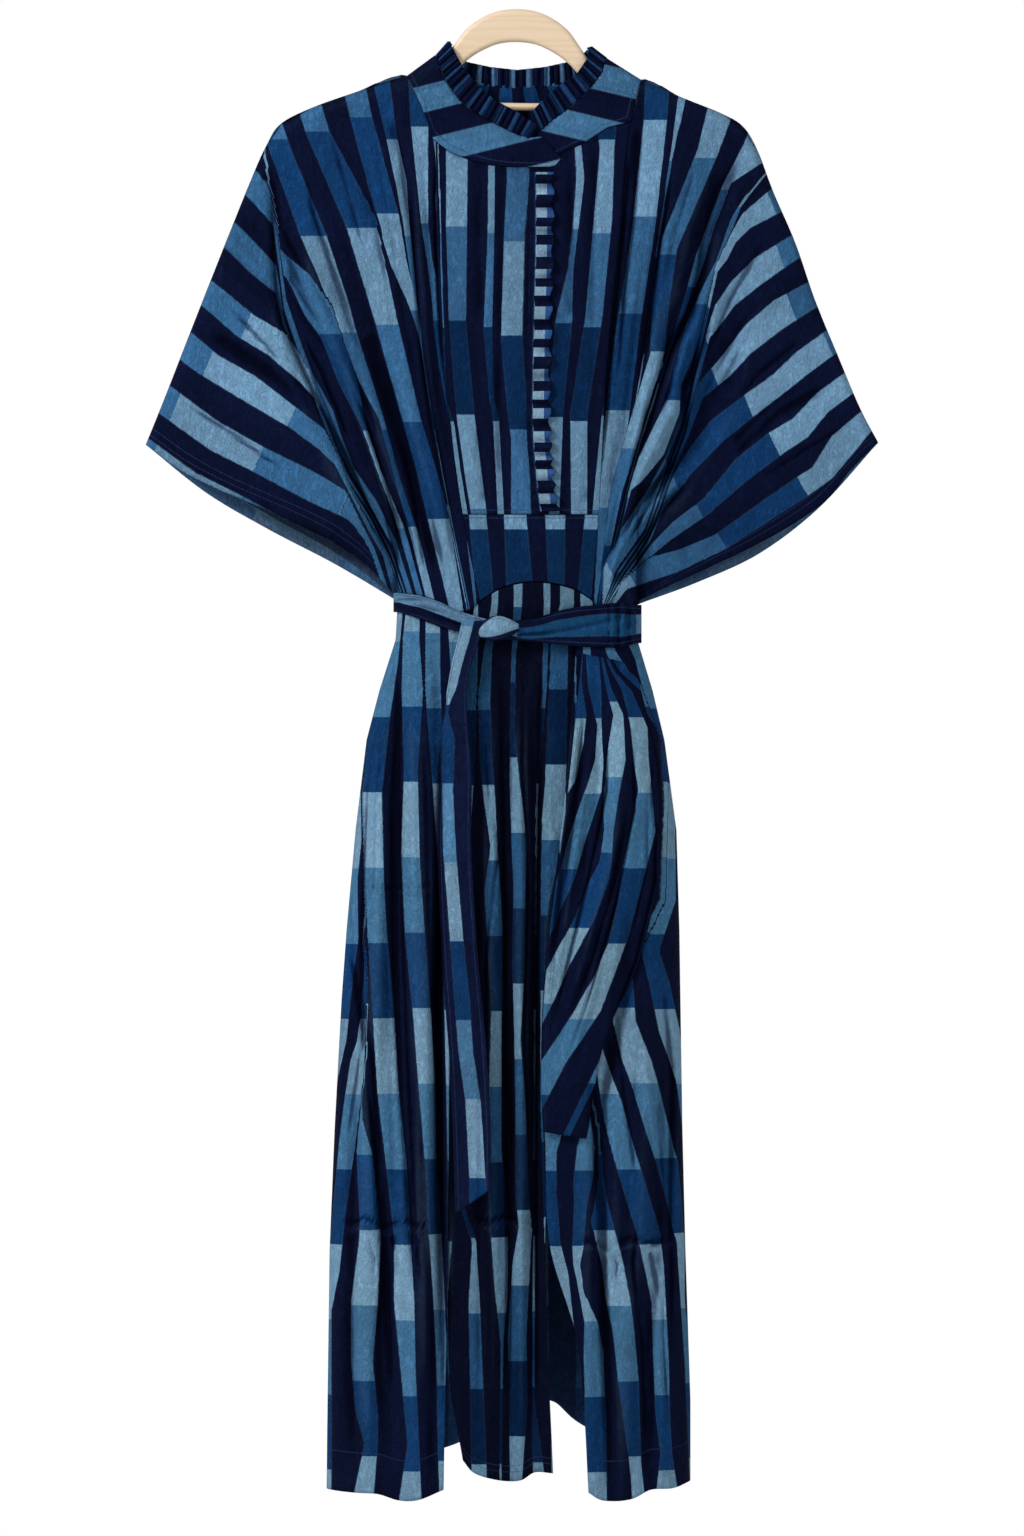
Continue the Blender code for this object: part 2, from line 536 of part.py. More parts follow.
def build_centre_front():
    left_seam, right_seam = LEFT_FRONT[0][1:], RIGHT_FRONT[0][1:]
    left_end, right_end = 5.9 / 7, 5.87 / 7
    down_left = part_of(left_seam, 1 / 7, left_end)
    down_right = part_of(right_seam, 0.6 / 7, right_end)
    placket = smooth(PLACKET)
    low_left = lambda u: between(left_seam_at(left_end), PLACKET[-1], u)
    low_right = lambda u: between(PLACKET[-1], right_seam_at(right_end), u)
    left_seam_at, right_seam_at = smooth(left_seam), smooth(right_seam)
    top_left = lambda u: straight_through(BODICE_TOP_LEFT, u)
    top_right = lambda u: straight_through(BODICE_TOP_RIGHT, u)
    cloth("bodice_left", flat_surface(down_left, placket, top_left, low_left), steps(10), steps(13))
    cloth("bodice_right", flat_surface(placket, down_right, top_right, low_right), steps(10), steps(13))
    top = lambda u: between(left_seam_at(left_end), right_seam_at(right_end), u)
    cloth(
        "midriff_band",
        flat_surface(part_of(left_seam, left_end, 1), part_of(right_seam, right_end, 1), top, smooth(BAND_LOW)),
        steps(12),
        steps(4),
    )


def build_frill():
    half = 12

    def surface(u, v):
        across, down = smooth_through(PLACKET, mix(0.012, 0.99, v))
        across += mix(-half, half, u) + 2 * ease((v - 0.9) / 0.1) * u
        wave = FRILL_WAVE * math.cos(math.pi * round(v * 2 * FRILL_WAVES)) * (0.6 + 0.4 * u)
        return place(across, down, -upper(across, down) - FRILL_AHEAD - wave)

    cloth("placket_frill", surface, steps(2), steps(2 * FRILL_WAVES))


def build_collar():
    base = [pair[0] for pair in COLLAR]
    edge = [pair[1] for pair in COLLAR]
    sides = [pair[2] for pair in COLLAR]
    count = 2 * COLLAR_PLEATS

    def surface(u, v):
        low = straight_through(base, u)
        high = straight_through(edge, u)
        at = u * (len(sides) - 1)
        i = min(int(at), len(sides) - 2)
        side = mix(sides[i], sides[i + 1], at - i)
        side = math.copysign(math.sin(abs(side) * math.pi / 2), side)
        across, down = between(low, high, v)
        stand = lie(*low) if abs(side) > 0.99 else SHOULDER_ROLL
        y = side * (stand + 2.6 * (1 - ease((1 - u) / 0.06) if u > 0.9 else 0) * -1)
        pleat = COLLAR_WAVE * (1 if round(u * count) % 2 else -1)
        out = Vector(((low[0] - high[0]) * 0.3, 0, 0)).normalized() if abs(side) < 0.5 else Vector((0, 1, 0))
        return place(across, down, y) + out * pleat * MM

    cloth("collar", surface, steps(count), [0, 1], COLLAR_WALL, set_back=1.6)


def panel_surface(left, right, top, bottom, side, ahead, folds):
    def surface(u, v):
        across, down = patch(left, right, top, bottom, u, v)
        _, low, high, _ = row_of(SKIRT, down)
        if across < low + 0.2 or across > high - 0.2:
            return place(across, down, side * RIM_GAP)
        return place(across, down, side * (skirt(across, down, folds) + ahead(down)))

    return surface


def outline(side):
    return lambda t, first=604, last=1490: (row_of(SKIRT, mix(first, last, t))[side], mix(first, last, t))


def build_skirt():
    none = lambda down: 0.0
    behind = lambda down: -CENTRE_BEHIND * ease((down - 600) / 45)
    left_rim, right_rim = outline(1), outline(2)
    round_right = [0, 0.14, 0.28, 0.41, 0.53, 0.64, 0.74, 0.825, 0.89, 0.94, 0.976, 0.995, 1]
    round_left = [1 - u for u in reversed(round_right)]
    rows = [0, 0.042, 0.1] + steps(15, 0.16, 1)
    round_both = [0, 0.002, 0.011, 0.032, 0.07]
    left_side = lambda t: left_rim(t, 604, 1488)
    right_side = lambda t: right_rim(t, 604, 1480)
    cloth(
        "skirt_front_left",
        panel_surface(
            left_side, smooth(LEFT_PANEL_EDGE), smooth(LEFT_PANEL_TOP), smooth(LEFT_PANEL_HEM), -1, none, SKIRT_FOLDS
        ),
        round_left,
        rows,
    )
    cloth(
        "skirt_front_centre",
        panel_surface(
            smooth(CENTRE_LEFT), smooth(CENTRE_RIGHT), smooth(CENTRE_TOP), smooth(CENTRE_HEM), -1, behind, SKIRT_FOLDS
        ),
        steps(13),
        rows,
    )
    cloth(
        "skirt_front_right",
        panel_surface(
            smooth(RIGHT_PANEL_EDGE), right_side, smooth(RIGHT_PANEL_TOP), smooth(RIGHT_PANEL_HEM), -1, none, SKIRT_FOLDS
        ),
        round_right,
        rows,
    )
    drape_top = lambda u: between(DRAPE_LEFT[0], DRAPE_RIGHT[0], u)
    drape_low = lambda u: between(DRAPE_LEFT[-1], DRAPE_RIGHT[-1], u)
    over = lambda down: DRAPE_AHEAD
    cloth(
        "skirt_drape",
        panel_surface(smooth(DRAPE_LEFT), smooth(DRAPE_RIGHT), drape_top, drape_low, -1, over, SKIRT_FOLDS),
        steps(8),
        steps(13),
    )
    back_top = smooth(SKIRT_BACK_TOP)
    back_left = lambda t: left_rim(t, 605, 1470)
    cloth(
        "skirt_back",
        panel_surface(back_left, right_side_back(right_rim), back_top, smooth(BACK_HEM), 1, none, SKIRT_BACK_FOLDS),
        round_both + steps(14, 0.125, 0.875) + [1 - u for u in reversed(round_both)],
        rows[:3] + steps(13, 0.165, 1),
    )


def right_side_back(rim):
    return lambda t: rim(t, 606.3, 1470)


def belt_depth(across, ahead):
    return girth(across - WAIST_MIDDLE, WAIST_HALF, WAIST_DEPTH) + ahead


def build_belt():
    front = [(a, up, low, -1) for a, up, low in BELT_FRONT]
    back = [(a, up, low, 1) for a, up, low in BELT_BACK]
    count = 48
    half, depth = WAIST_HALF + BELT_AHEAD / UNIT_MM, WAIST_DEPTH + BELT_AHEAD

    def surface(u, v):
        angle = 2 * math.pi * u
        power = 2 / SQUARENESS
        across = WAIST_MIDDLE - half * math.copysign(abs(math.cos(angle)) ** power, math.cos(angle))
        y = -depth * math.copysign(abs(math.sin(angle)) ** power, math.sin(angle))
        line = front if y < 0 else back[::-1]
        line = line if y < 0 else [front[0][:3]] + [row[:3] for row in line] + [front[-1][:3]]
        rows = [(row[0], row[1], row[2]) for row in line]
        _, up, low = row_of(rows, min(max(across, rows[0][0]), rows[-1][0]))
        knot = KNOT_AHEAD * ease(1 - abs(across - 500) / 45) if y < 0 else 0
        return place(across, mix(up, low, v), y - knot)

    cloth("belt", surface, steps(count), steps(2), closed=True)

    def loop(u, v):
        turn = math.pi * v
        across = mix(482, 516, u)
        down = 631 - 13 * math.cos(turn) + mix(2, -2, u)
        swell = 2.1 + 4.5 * math.sin(turn)
        y = -belt_depth(across, BELT_AHEAD + KNOT_AHEAD * ease(1 - abs(across - 500) / 45))
        return place(across, down, y - swell)

    cloth("belt_knot", loop, steps(5), steps(9))

    def strip(u, v):
        middle = smooth_through(TAIL, mix(0, 1, v))
        across = middle[0] + middle[2] * (2 * u - 1)
        down = middle[1] + 13 * (1 - u) * ease((v - 0.8) / 0.2) - 12 * u * ease((v - 0.8) / 0.2)
        ahead = mix(10.6, TAIL_AHEAD, ease((down - 648) / 50))
        return place(across, down, -skirt(across, down) - ahead)

    cloth("belt_tail", strip, steps(4), steps(20))


def build_hanger():
    """Outlines drawn flat, filled and thickened, then turned upright and tilted as it hangs."""
    outer = list(BOARD_TOP) + list(BOARD_UNDER)
    outer += [(-x, z) for x, z in reversed(outer) if x]
    eye = list(EYE) + [(-x, z) for x, z in reversed(EYE) if x]
    flat = bpy.data.curves.new("hanger", "CURVE")
    flat.dimensions = "2D"
    flat.fill_mode = "BOTH"
    flat.extrude = (HANGER_THICK / 2 - HANGER_EDGE) * MM
    flat.bevel_depth = HANGER_EDGE * MM
    flat.bevel_resolution = 1
    flat.offset = -HANGER_EDGE * MM
    for points in (outer, eye):
        spline = flat.splines.new("POLY")
        spline.points.add(len(points) - 1)
        for point, (x, z) in zip(spline.points, points):
            point.co = (x * MM, z * MM, 0, 1)
        spline.use_cyclic_u = True
    piece = add("hanger", flat)
    turn = Matrix.Rotation(math.radians(HANGER_TILT), 4, "Y") @ Matrix.Rotation(math.radians(90), 4, "X")
    piece.matrix_world = turn
    weld = piece.modifiers.new("weld", "WELD")
    weld.merge_threshold = 0.00001


for old in list(bpy.data.objects):
    bpy.data.objects.remove(old, do_unlink=True)
group = bpy.data.collections.new("sundress_on_hanger")
bpy.context.scene.collection.children.link(group)

build_sides()
build_yokes()
build_centre_front()
build_frill()
build_collar()
build_skirt()
build_belt()
build_hanger()
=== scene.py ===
# Looks of the striped kaftan sundress on its wooden hanger: fine cloth in place of each CAD sheet, with its
# weave, stripes, stitching and creases, the hanger's wood, soft light and the camera.
# Places are table units read off the photo: "across" to the right, "down" downwards, 0.95 mm each.
import math

import bmesh
import bpy
import numpy as np
from mathutils import Matrix, Vector


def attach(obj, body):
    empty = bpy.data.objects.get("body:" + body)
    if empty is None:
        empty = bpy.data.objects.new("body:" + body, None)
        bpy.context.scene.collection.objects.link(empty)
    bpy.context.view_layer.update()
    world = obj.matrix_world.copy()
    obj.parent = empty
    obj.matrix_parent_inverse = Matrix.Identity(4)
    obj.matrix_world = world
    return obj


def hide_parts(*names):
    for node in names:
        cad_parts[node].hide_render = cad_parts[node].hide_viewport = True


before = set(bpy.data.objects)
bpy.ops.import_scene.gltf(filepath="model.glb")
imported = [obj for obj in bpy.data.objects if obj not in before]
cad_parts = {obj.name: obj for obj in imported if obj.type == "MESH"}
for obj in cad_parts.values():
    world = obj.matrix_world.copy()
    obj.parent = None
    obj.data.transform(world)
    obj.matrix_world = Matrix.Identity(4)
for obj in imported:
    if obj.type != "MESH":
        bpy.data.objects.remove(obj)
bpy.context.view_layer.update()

mm = 0.001
unit = 0.95 * mm
axisAcross = 517
crownDown = 42
wall = 0.9
waistMiddle, waistHalf, waistDepth = 517.5, 119.5, 40
shoulderRoll, chestRise, squareness = 8.8, 26, 2.6
stripePeriod = 0.054  # one light and one navy stripe, in the cloth's own map, in metres
stripeSpan = 54  # the same beyond the last line of a table, in table units
rimDepth = 0.05  # how far front and back stand from the middle plane at their seams, in mm
fineness = 1.0

# Outlines and lines of the cloth, the same as the CAD sheets have
# Outer line of the dress from the neck over the shoulder and down the arm.
leftShoulder = ((437, 54), (407, 76), (357, 92), (312, 108), (281, 124), (267, 145))
leftArm = ((267, 145), (250, 183), (228, 238), (206, 293), (184, 350), (163, 403), (146, 445))
rightShoulder = ((606, 58), (641, 80), (680, 97), (722, 114), (743, 127), (757, 150))
rightArm = ((757, 150), (773, 192), (795, 243), (815, 301), (836, 352), (856, 400), (878, 443))
neckLine = ((437, 54), (606, 58))

# Lines down the cloth of the left front: stripe number, then eight places from the top to the waist.
leftFront = (
    (0.0, (407, 76), (433, 140), (436, 215), (438, 290), (443, 368), (453, 446), (464, 523), (480, 602)),
    (0.5, (403, 77), (421, 150), (426, 222), (432, 290), (438, 368), (447, 446), (458, 525), (474, 608)),
    (1.5, (383, 83), (395, 155), (407, 225), (417, 295), (428, 370), (440, 448), (452, 528), (468, 611)),
    (2.5, (357, 92), (374, 155), (393, 218), (409, 290), (422, 365), (434, 446), (446, 528), (461, 613)),
    (3.5, (312, 108), (331, 160), (351, 215), (377, 280), (397, 350), (414, 428), (434, 515), (454, 613)),
    (4.5, (281, 124), (299, 188), (315, 236), (335, 285), (354, 345), (374, 412), (405, 508), (447, 612)),
    (5.0, (267, 145), (283, 200), (302, 250), (326, 302), (348, 354), (371, 420), (402, 510), (443, 612)),
    (5.5, (250, 183), (268, 212), (287, 255), (314, 312), (340, 362), (367, 430), (399, 512), (439, 611)),
    (6.5, (228, 238), (252, 262), (277, 287), (300, 328), (325, 384), (354, 445), (391, 518), (431, 609)),
    (7.5, (206, 293), (238, 314), (268, 334), (299, 366), (326, 405), (354, 455), (387, 523), (423, 607)),
    (8.5, (184, 350), (222, 374), (262, 396), (299, 416), (331, 440), (358, 475), (386, 532), (415, 605)),
    (9.5, (163, 403), (203, 430), (243, 454), (283, 473), (321, 490), (353, 510), (383, 548), (407, 603)),
    (10.3, (146, 445), (180, 470), (215, 488), (252, 504), (290, 521), (328, 540), (364, 563), (399, 600)),
)

rightFront = (
    (0.0, (641, 80), (627, 148), (621, 225), (613, 300), (606, 375), (602, 450), (598, 525), (592, 600)),
    (0.5, (655, 86), (650, 150), (643, 222), (632, 297), (621, 372), (613, 449), (606, 527), (596, 606)),
    (1.5, (680, 97), (671, 155), (659, 222), (646, 295), (633, 370), (622, 448), (612, 529), (599, 611)),
    (2.5, (722, 114), (702, 162), (682, 222), (664, 290), (648, 362), (632, 442), (617, 527), (602, 613)),
    (3.0, (743, 127), (722, 175), (700, 228), (684, 290), (667, 355), (646, 434), (624, 524), (604, 613)),
    (3.5, (757, 150), (735, 190), (713, 230), (698, 286), (680, 348), (657, 426), (630, 519), (606, 613)),
    (4.5, (773, 192), (750, 215), (731, 247), (713, 292), (694, 347), (669, 418), (638, 513), (609, 613)),
    (5.5, (795, 243), (767, 262), (742, 290), (720, 325), (699, 368), (674, 428), (643, 515), (611, 613)),
    (6.5, (815, 301), (784, 320), (754, 345), (725, 374), (702, 408), (678, 453), (648, 522), (614, 612)),
    (7.5, (836, 352), (802, 371), (767, 394), (734, 415), (706, 442), (681, 478), (652, 533), (617, 611)),
    (8.5, (856, 400), (821, 417), (785, 436), (750, 457), (717, 479), (687, 506), (656, 550), (621, 609)),
    (9.3, (868, 425), (835, 452), (801, 480), (765, 505), (729, 528), (692, 548), (659, 574), (626, 606)),
    (10.0, (878, 443), (850, 471), (827, 500), (790, 526), (750, 548), (710, 567), (671, 585), (634, 603)),
)

# The same for the back, five places from the top to the waist.
back = (
    (-10.3, (146, 445), (205, 492), (268, 529), (335, 564), (399, 602)),
    (-9.5, (163, 403), (222, 447), (283, 487), (345, 532), (410, 604)),
    (-7.5, (206, 293), (258, 345), (312, 408), (368, 492), (425, 606)),
    (-5.5, (250, 183), (290, 270), (335, 368), (385, 475), (440, 608)),
    (-5.0, (267, 145), (302, 245), (345, 350), (392, 465), (446, 608)),
    (-4.5, (281, 124), (314, 236), (354, 345), (399, 463), (452, 608)),
    (-3.5, (312, 108), (340, 228), (374, 342), (413, 462), (462, 609)),
    (-2.5, (357, 92), (378, 220), (402, 338), (434, 460), (474, 609)),
    (-1.5, (407, 76), (424, 205), (440, 332), (462, 458), (490, 609)),
    (-1.0, (440, 122), (452, 236), (466, 352), (482, 470), (503, 609)),
    (-0.5, (480, 140), (486, 250), (494, 362), (504, 478), (515, 609)),
    (0.0, (524, 144), (524, 254), (524, 366), (525, 480), (526, 609)),
    (0.5, (570, 138), (563, 250), (556, 362), (547, 478), (538, 609)),
    (1.0, (611, 120), (600, 236), (586, 350), (569, 470), (550, 609)),
    (1.5, (641, 80), (622, 207), (604, 334), (584, 458), (562, 609)),
    (2.5, (680, 97), (656, 222), (630, 340), (603, 460), (575, 609)),
    (3.5, (722, 114), (690, 232), (654, 345), (617, 463), (585, 609)),
    (4.0, (743, 127), (706, 243), (664, 352), (622, 466), (591, 608)),
    (4.5, (757, 150), (716, 256), (670, 360), (628, 470), (597, 608)),
    (5.5, (773, 192), (728, 280), (682, 378), (636, 480), (603, 608)),
    (7.5, (815, 301), (762, 352), (706, 415), (652, 495), (612, 607)),
    (9.5, (856, 400), (796, 446), (735, 488), (676, 535), (625, 606)),
    (10.3, (878, 443), (820, 507), (760, 553), (698, 582), (636, 605)),
)

# Collar: where its base is sewn, where its free edge is, and the side it is on (-1 front, 1 back).
collar = (
    ((530, 140), (539, 127), -1), ((508, 131), (517, 112), -1), ((486, 119), (496, 101), -1),
    ((463, 105), (478, 86), -1), ((446, 82), (463, 67), -1), ((439, 66), (455, 52), -1),
    ((437, 54), (449, 41), 0), ((446, 65), (454, 51), 1), ((463, 78), (467, 61), 1),
    ((490, 84), (490, 66), 1), ((517, 86), (517, 69), 1), ((545, 84), (545, 66), 1),
    ((570, 80), (568, 61), 1), ((590, 70), (580, 56), 1), ((606, 58), (590, 46), 0),
    ((602, 73), (586, 60), -1), ((591, 88), (578, 72), -1), ((570, 108), (556, 88), -1),
    ((552, 121), (542, 101), -1), ((537, 134), (529, 115), -1),
)

# Yokes: the collar side and the outer seam, point against point.
yokeLeft = (
    ((437, 54), (407, 76)), ((439, 66), (421.5, 107)), ((446, 82), (433, 140)), ((463, 105), (450, 153)),
    ((486, 119), (470, 161)), ((497, 125), (490, 166)), ((508, 131), (510, 168)),
    ((519, 136), (531, 168)), ((530, 138), (549, 168)), ((541, 137), (558, 166)), ((547, 143), (562, 160)),
)
yokeRight = (
    ((606, 58), (641, 80)), ((602, 73), (637, 97)), ((591, 88), (632, 122)), ((570, 108), (608, 128)),
    ((552, 121), (585, 143)), ((544, 128), (565, 152)), ((537, 134), (545, 162)),
)
yokeBack = (
    (-1.5, 437, 54), (-1.25, 446, 65), (-1, 463, 78), (-0.5, 490, 84), (0, 517, 86), (0.5, 545, 84),
    (1, 570, 80),
    (1.25, 590, 70), (1.5, 606, 58),
)

bodiceTopLeft = ((433, 140), (450, 153), (470, 161), (490, 166), (510, 168), (541, 168))
bodiceTopRight = ((541, 168.5), (554, 168), (565, 152.5), (585, 143.5), (608, 128.5), (631.8, 122.3))
bodiceBottom = 515
placket = ((541, 168), (541, 250), (539, 330), (538, 420), (541, 470), (546, 515))
bandLow = ((480, 602), (498, 590), (516, 584), (535, 582), (554, 584), (573, 589), (592, 600))

# Skirt: down, left outline, right outline, depth in mm from the middle to the front.
skirt = (
    (604, 398, 637, 40), (640, 396, 637, 40), (690, 380, 652, 46), (740, 367, 664, 54), (830, 356, 676, 58),
    (930, 347, 679, 61), (1000, 342, 680, 63), (1130, 335, 682, 66), (1250, 330, 685, 68),
    (1400, 328, 690, 70), (1500, 327, 690, 70),
)
leftPanelEdge = ((470, 615), (469, 650), (461, 740), (455, 830), (451, 960), (449, 1150), (447, 1300),
                 (444, 1486))
leftPanelTop = ((398, 604), (430, 610), (454, 614), (470, 613.5))
leftPanelHem = ((327, 1488), (352, 1490), (378, 1491), (400, 1497), (420, 1496), (444, 1486))
centreLeft = ((474, 608), (469, 660), (452, 740), (440, 840), (434, 1000), (434, 1200), (447, 1360),
              (463, 1457))
centreRight = ((596, 607), (592, 660), (584, 750), (575, 850), (562, 960), (555, 1100), (545, 1250),
               (553, 1470))
centreTop = ((474, 608), (480, 603), (498, 591), (516, 585), (535, 583), (554, 585), (573, 590), (590, 600),
             (596, 607))
centreHem = ((463, 1457), (475, 1470), (500, 1477), (520, 1477), (535, 1469), (553, 1470))
rightPanelEdge = (
    (578, 615), (575, 660), (566, 780), (555, 880), (545, 970), (541, 1060), (545, 1140), (549, 1240),
    (575, 1330),
    (583, 1400), (588, 1489),
)
rightPanelTop = ((578, 615), (600, 615.5), (620, 611.5), (637, 604))
rightPanelHem = ((588, 1489), (603, 1497), (630, 1496), (650, 1487), (672, 1486), (690, 1480))
drapeLeft = ((582, 654), (573, 740), (562, 840), (550, 930), (543, 1010), (541, 1070), (543, 1130))
drapeRight = ((634, 664), (648, 722), (660, 785), (658, 870), (640, 955), (604, 1040), (586, 1137))
skirtBackTop = ((398, 605), (428, 609), (458, 610.3), (518, 610.3), (578, 610.3), (610, 609.6), (637, 606.3))
backHem = ((327, 1470), (400, 1462), (455, 1448), (500, 1424), (547, 1404), (580, 1427), (640, 1460),
           (690, 1470))

# Largest folds: half width in table units, depth in mm (below 0 a trough), then the line it follows.
upperFolds = (
    (24, -11, (284, 180), (288, 290), (312, 375), (347, 450), (385, 525), (405, 570)),
    (16, 5, (292, 245), (330, 315), (362, 395), (398, 500)),
    (15, -8, (372, 345), (400, 430), (425, 520), (440, 575)),
    (18, 4, (340, 180), (388, 325), (418, 440), (446, 560)),
    (11, -6, (420, 160), (434, 290), (440, 390), (452, 500)),
    (11, -3, (388, 110), (402, 170), (414, 255)),
    (16, -3, (205, 330), (255, 362), (320, 410)),
    (18, -8, (738, 150), (704, 235), (690, 300), (655, 380)),
    (28, -13, (738, 275), (718, 380), (690, 440), (652, 500), (618, 575)),
    (14, 6, (682, 395), (655, 445), (632, 490)),
    (14, 5, (688, 460), (640, 525), (606, 585)),
    (14, -6, (656, 240), (640, 345), (626, 430), (610, 520)),
    (12, -4, (640, 110), (630, 200), (618, 330), (606, 480)),
    (18, -3, (830, 380), (770, 415), (725, 455)),
    (9, -2.5, (478, 168), (478, 250), (482, 330)),
    (9, -2.5, (500, 172), (500, 260), (498, 420), (502, 510)),
    (9, -2.5, (568, 158), (572, 260), (570, 330)),
    (9, -2.5, (596, 140), (592, 230), (590, 350)),
    (9, -2, (476, 420), (482, 470), (486, 510)),
    (9, -2, (590, 420), (588, 470), (586, 510)),
)
backFolds = (
    (26, -10, (286, 190), (300, 300), (340, 400), (392, 520), (412, 580)),
    (22, -7, (380, 250), (420, 400), (455, 560)),
    (20, -5, (480, 160), (490, 340), (505, 560)),
    (20, 4, (524, 160), (524, 360), (525, 580)),
    (20, -5, (568, 160), (556, 340), (540, 560)),
    (22, -7, (660, 250), (625, 400), (582, 560)),
    (26, -10, (740, 190), (716, 300), (674, 400), (630, 520), (612, 580)),
    (18, 4, (330, 200), (370, 340), (425, 500)),
    (18, 4, (700, 200), (660, 340), (610, 500)),
)
skirtFolds = (
    (15, -6, (404, 650), (393, 780), (393, 950), (392, 1150), (384, 1320), (383, 1500)),
    (13, -5, (366, 900), (352, 1100), (348, 1300), (350, 1500)),
    (12, -6, (436, 660), (440, 800), (438, 1000), (438, 1250), (432, 1500)),
    (14, 4, (418, 700), (417, 900), (424, 1150), (410, 1500)),
    (13, 4, (380, 780), (374, 1000), (364, 1250), (366, 1500)),
    (12, -5, (504, 640), (506, 900), (508, 1200), (511, 1500)),
    (13, -6, (538, 650), (536, 900), (533, 1200), (534, 1500)),
    (11, 4, (521, 700), (522, 1000), (521, 1500)),
    (12, 4, (488, 760), (490, 1100), (488, 1500)),
    (13, -5, (600, 670), (594, 780), (574, 920), (556, 1010)),
    (14, 4, (628, 700), (612, 850), (582, 1000), (560, 1080)),
    (14, -5, (640, 880), (622, 1000), (602, 1100), (600, 1250), (604, 1500)),
    (14, 4, (650, 1000), (640, 1200), (624, 1350), (622, 1500)),
    (13, -5, (670, 1000), (662, 1200), (648, 1350), (648, 1500)),
    (10, -3, (676, 700), (672, 900)),
)
skirtBackFolds = (
    (20, -6, (440, 650), (410, 900), (385, 1200), (378, 1500)),
    (20, 5, (470, 650), (455, 900), (440, 1200), (430, 1500)),
    (20, -6, (500, 650), (495, 900), (485, 1200), (480, 1500)),
    (20, 5, (520, 650), (525, 900), (528, 1200), (530, 1500)),
    (20, -6, (545, 650), (560, 900), (575, 1200), (580, 1500)),
    (20, 5, (570, 650), (595, 900), (615, 1200), (625, 1500)),
    (18, -5, (600, 650), (630, 900), (650, 1200), (655, 1500)),
)

# Belt: across, upper edge, lower edge, both as down. Front from left to right, then the back.
beltFront = (
    (398, 593, 612), (420, 595, 619), (440, 602, 627), (460, 612, 633), (480, 618, 638), (500, 622, 640),
    (520, 621, 641), (540, 617, 643), (560, 611, 645), (580, 607, 647), (600, 605, 648), (620, 603, 648),
    (637, 605, 643),
)
beltBack = ((600, 602, 638), (560, 602, 636), (518, 602, 635), (475, 600, 629), (435, 597, 620))
tail = (
    (474, 621, 12), (468.5, 641, 11), (461.5, 665, 10), (457, 690, 10), (455.5, 715, 12), (456, 770, 16),
    (455, 850, 17), (460, 950, 18), (468, 1050, 19), (472, 1130, 19), (473, 1199, 18),
)

# Hanger outline in millimetres from the crown, right half: board top, board underside, then the bar.
boardTop = (
    (0, 31.4), (18, 29.2), (34, 22.5), (48, 12), (58, -1), (67, -14), (77, -25), (90, -32.5), (106, -39),
    (118, -41), (128, -43.8), (140, -48), (152, -52.6), (195, -69), (204, -74), (209, -82),
)
boardUnder = ((207, -92), (198, -95), (160, -82), (120, -68.5), (92, -65.5))
eye = ((0, 0), (16, -1.6), (30, -7), (44, -15.5), (56, -27), (66, -41), (78, -56))


def ease(t):
    t = np.clip(t, 0.0, 1.0)
    return t * t * (3 - 2 * t)


def mix(a, b, t):
    return a + (b - a) * t


def spread(count, first=0.0, last=1.0):
    return np.linspace(first, last, max(3, round(count * fineness)) + 1)


def spanAt(points, t):
    # which span of a line each t from 0 to 1 falls in, and how far along that span
    at = np.clip(t, 0, 1) * (len(points) - 1)
    i = np.minimum(at.astype(int), len(points) - 2)
    return i, (at - i).reshape((-1,) + (1,) * (points.ndim - 1))


def curved(p, q, r, s, f):
    # smooth curve from q to r, with p before and s after them
    return 0.5 * (2 * q + (r - p) * f + (2 * p - 5 * q + 4 * r - s) * f * f + (3 * q - 3 * r + s - p) * f ** 3)


def spline(points, t):
    # smooth line through the rows of an array, t from 0 to 1
    points = np.asarray(points, float)
    padded = np.concatenate([2 * points[:1] - points[1:2], points, 2 * points[-1:] - points[-2:-1]])
    i, f = spanAt(points, t)
    return curved(*(padded[i + k] for k in range(4)), f)


def straight(points, t):
    points = np.asarray(points, float)
    i, f = spanAt(points, t)
    return mix(points[i], points[i + 1], f)


def nearest(line, across, down):
    # distance from places to a line of points, and how far along the line each is
    best, where = np.full(np.shape(across), 1e9), np.zeros(np.shape(across))
    for i, (a, b) in enumerate(zip(line, line[1:])):
        run = (b[0] - a[0], b[1] - a[1])
        t = np.clip(((across - a[0]) * run[0] + (down - a[1]) * run[1]) / (run[0] ** 2 + run[1] ** 2), 0, 1)
        gap = np.hypot(a[0] + run[0] * t - across, a[1] + run[1] * t - down)
        where = np.where(gap < best, (i + t) / (len(line) - 1), where)
        best = np.minimum(gap, best)
    return best, where


def leastGap(lines, across, down):
    return np.minimum.reduce([nearest(line, across, down)[0] for line in lines])


def folded(folds, across, down, left=0.25, ends=0.2):
    # sum of soft folds in mm, each of which fades over a share of its line to what is left at its ends
    total = np.zeros(np.shape(across))
    for half, depth, *line in folds:
        gap, along = nearest(line, across, down)
        fade = left + (1 - left) * ease(np.minimum(along, 1 - along) / ends)
        total += np.where(gap < half, depth * fade * (1 - np.minimum(gap / half, 1) ** 2) ** 2, 0)
    return total


def creased(creases, across, down):
    return folded(creases, across, down, 0.0, 0.3)


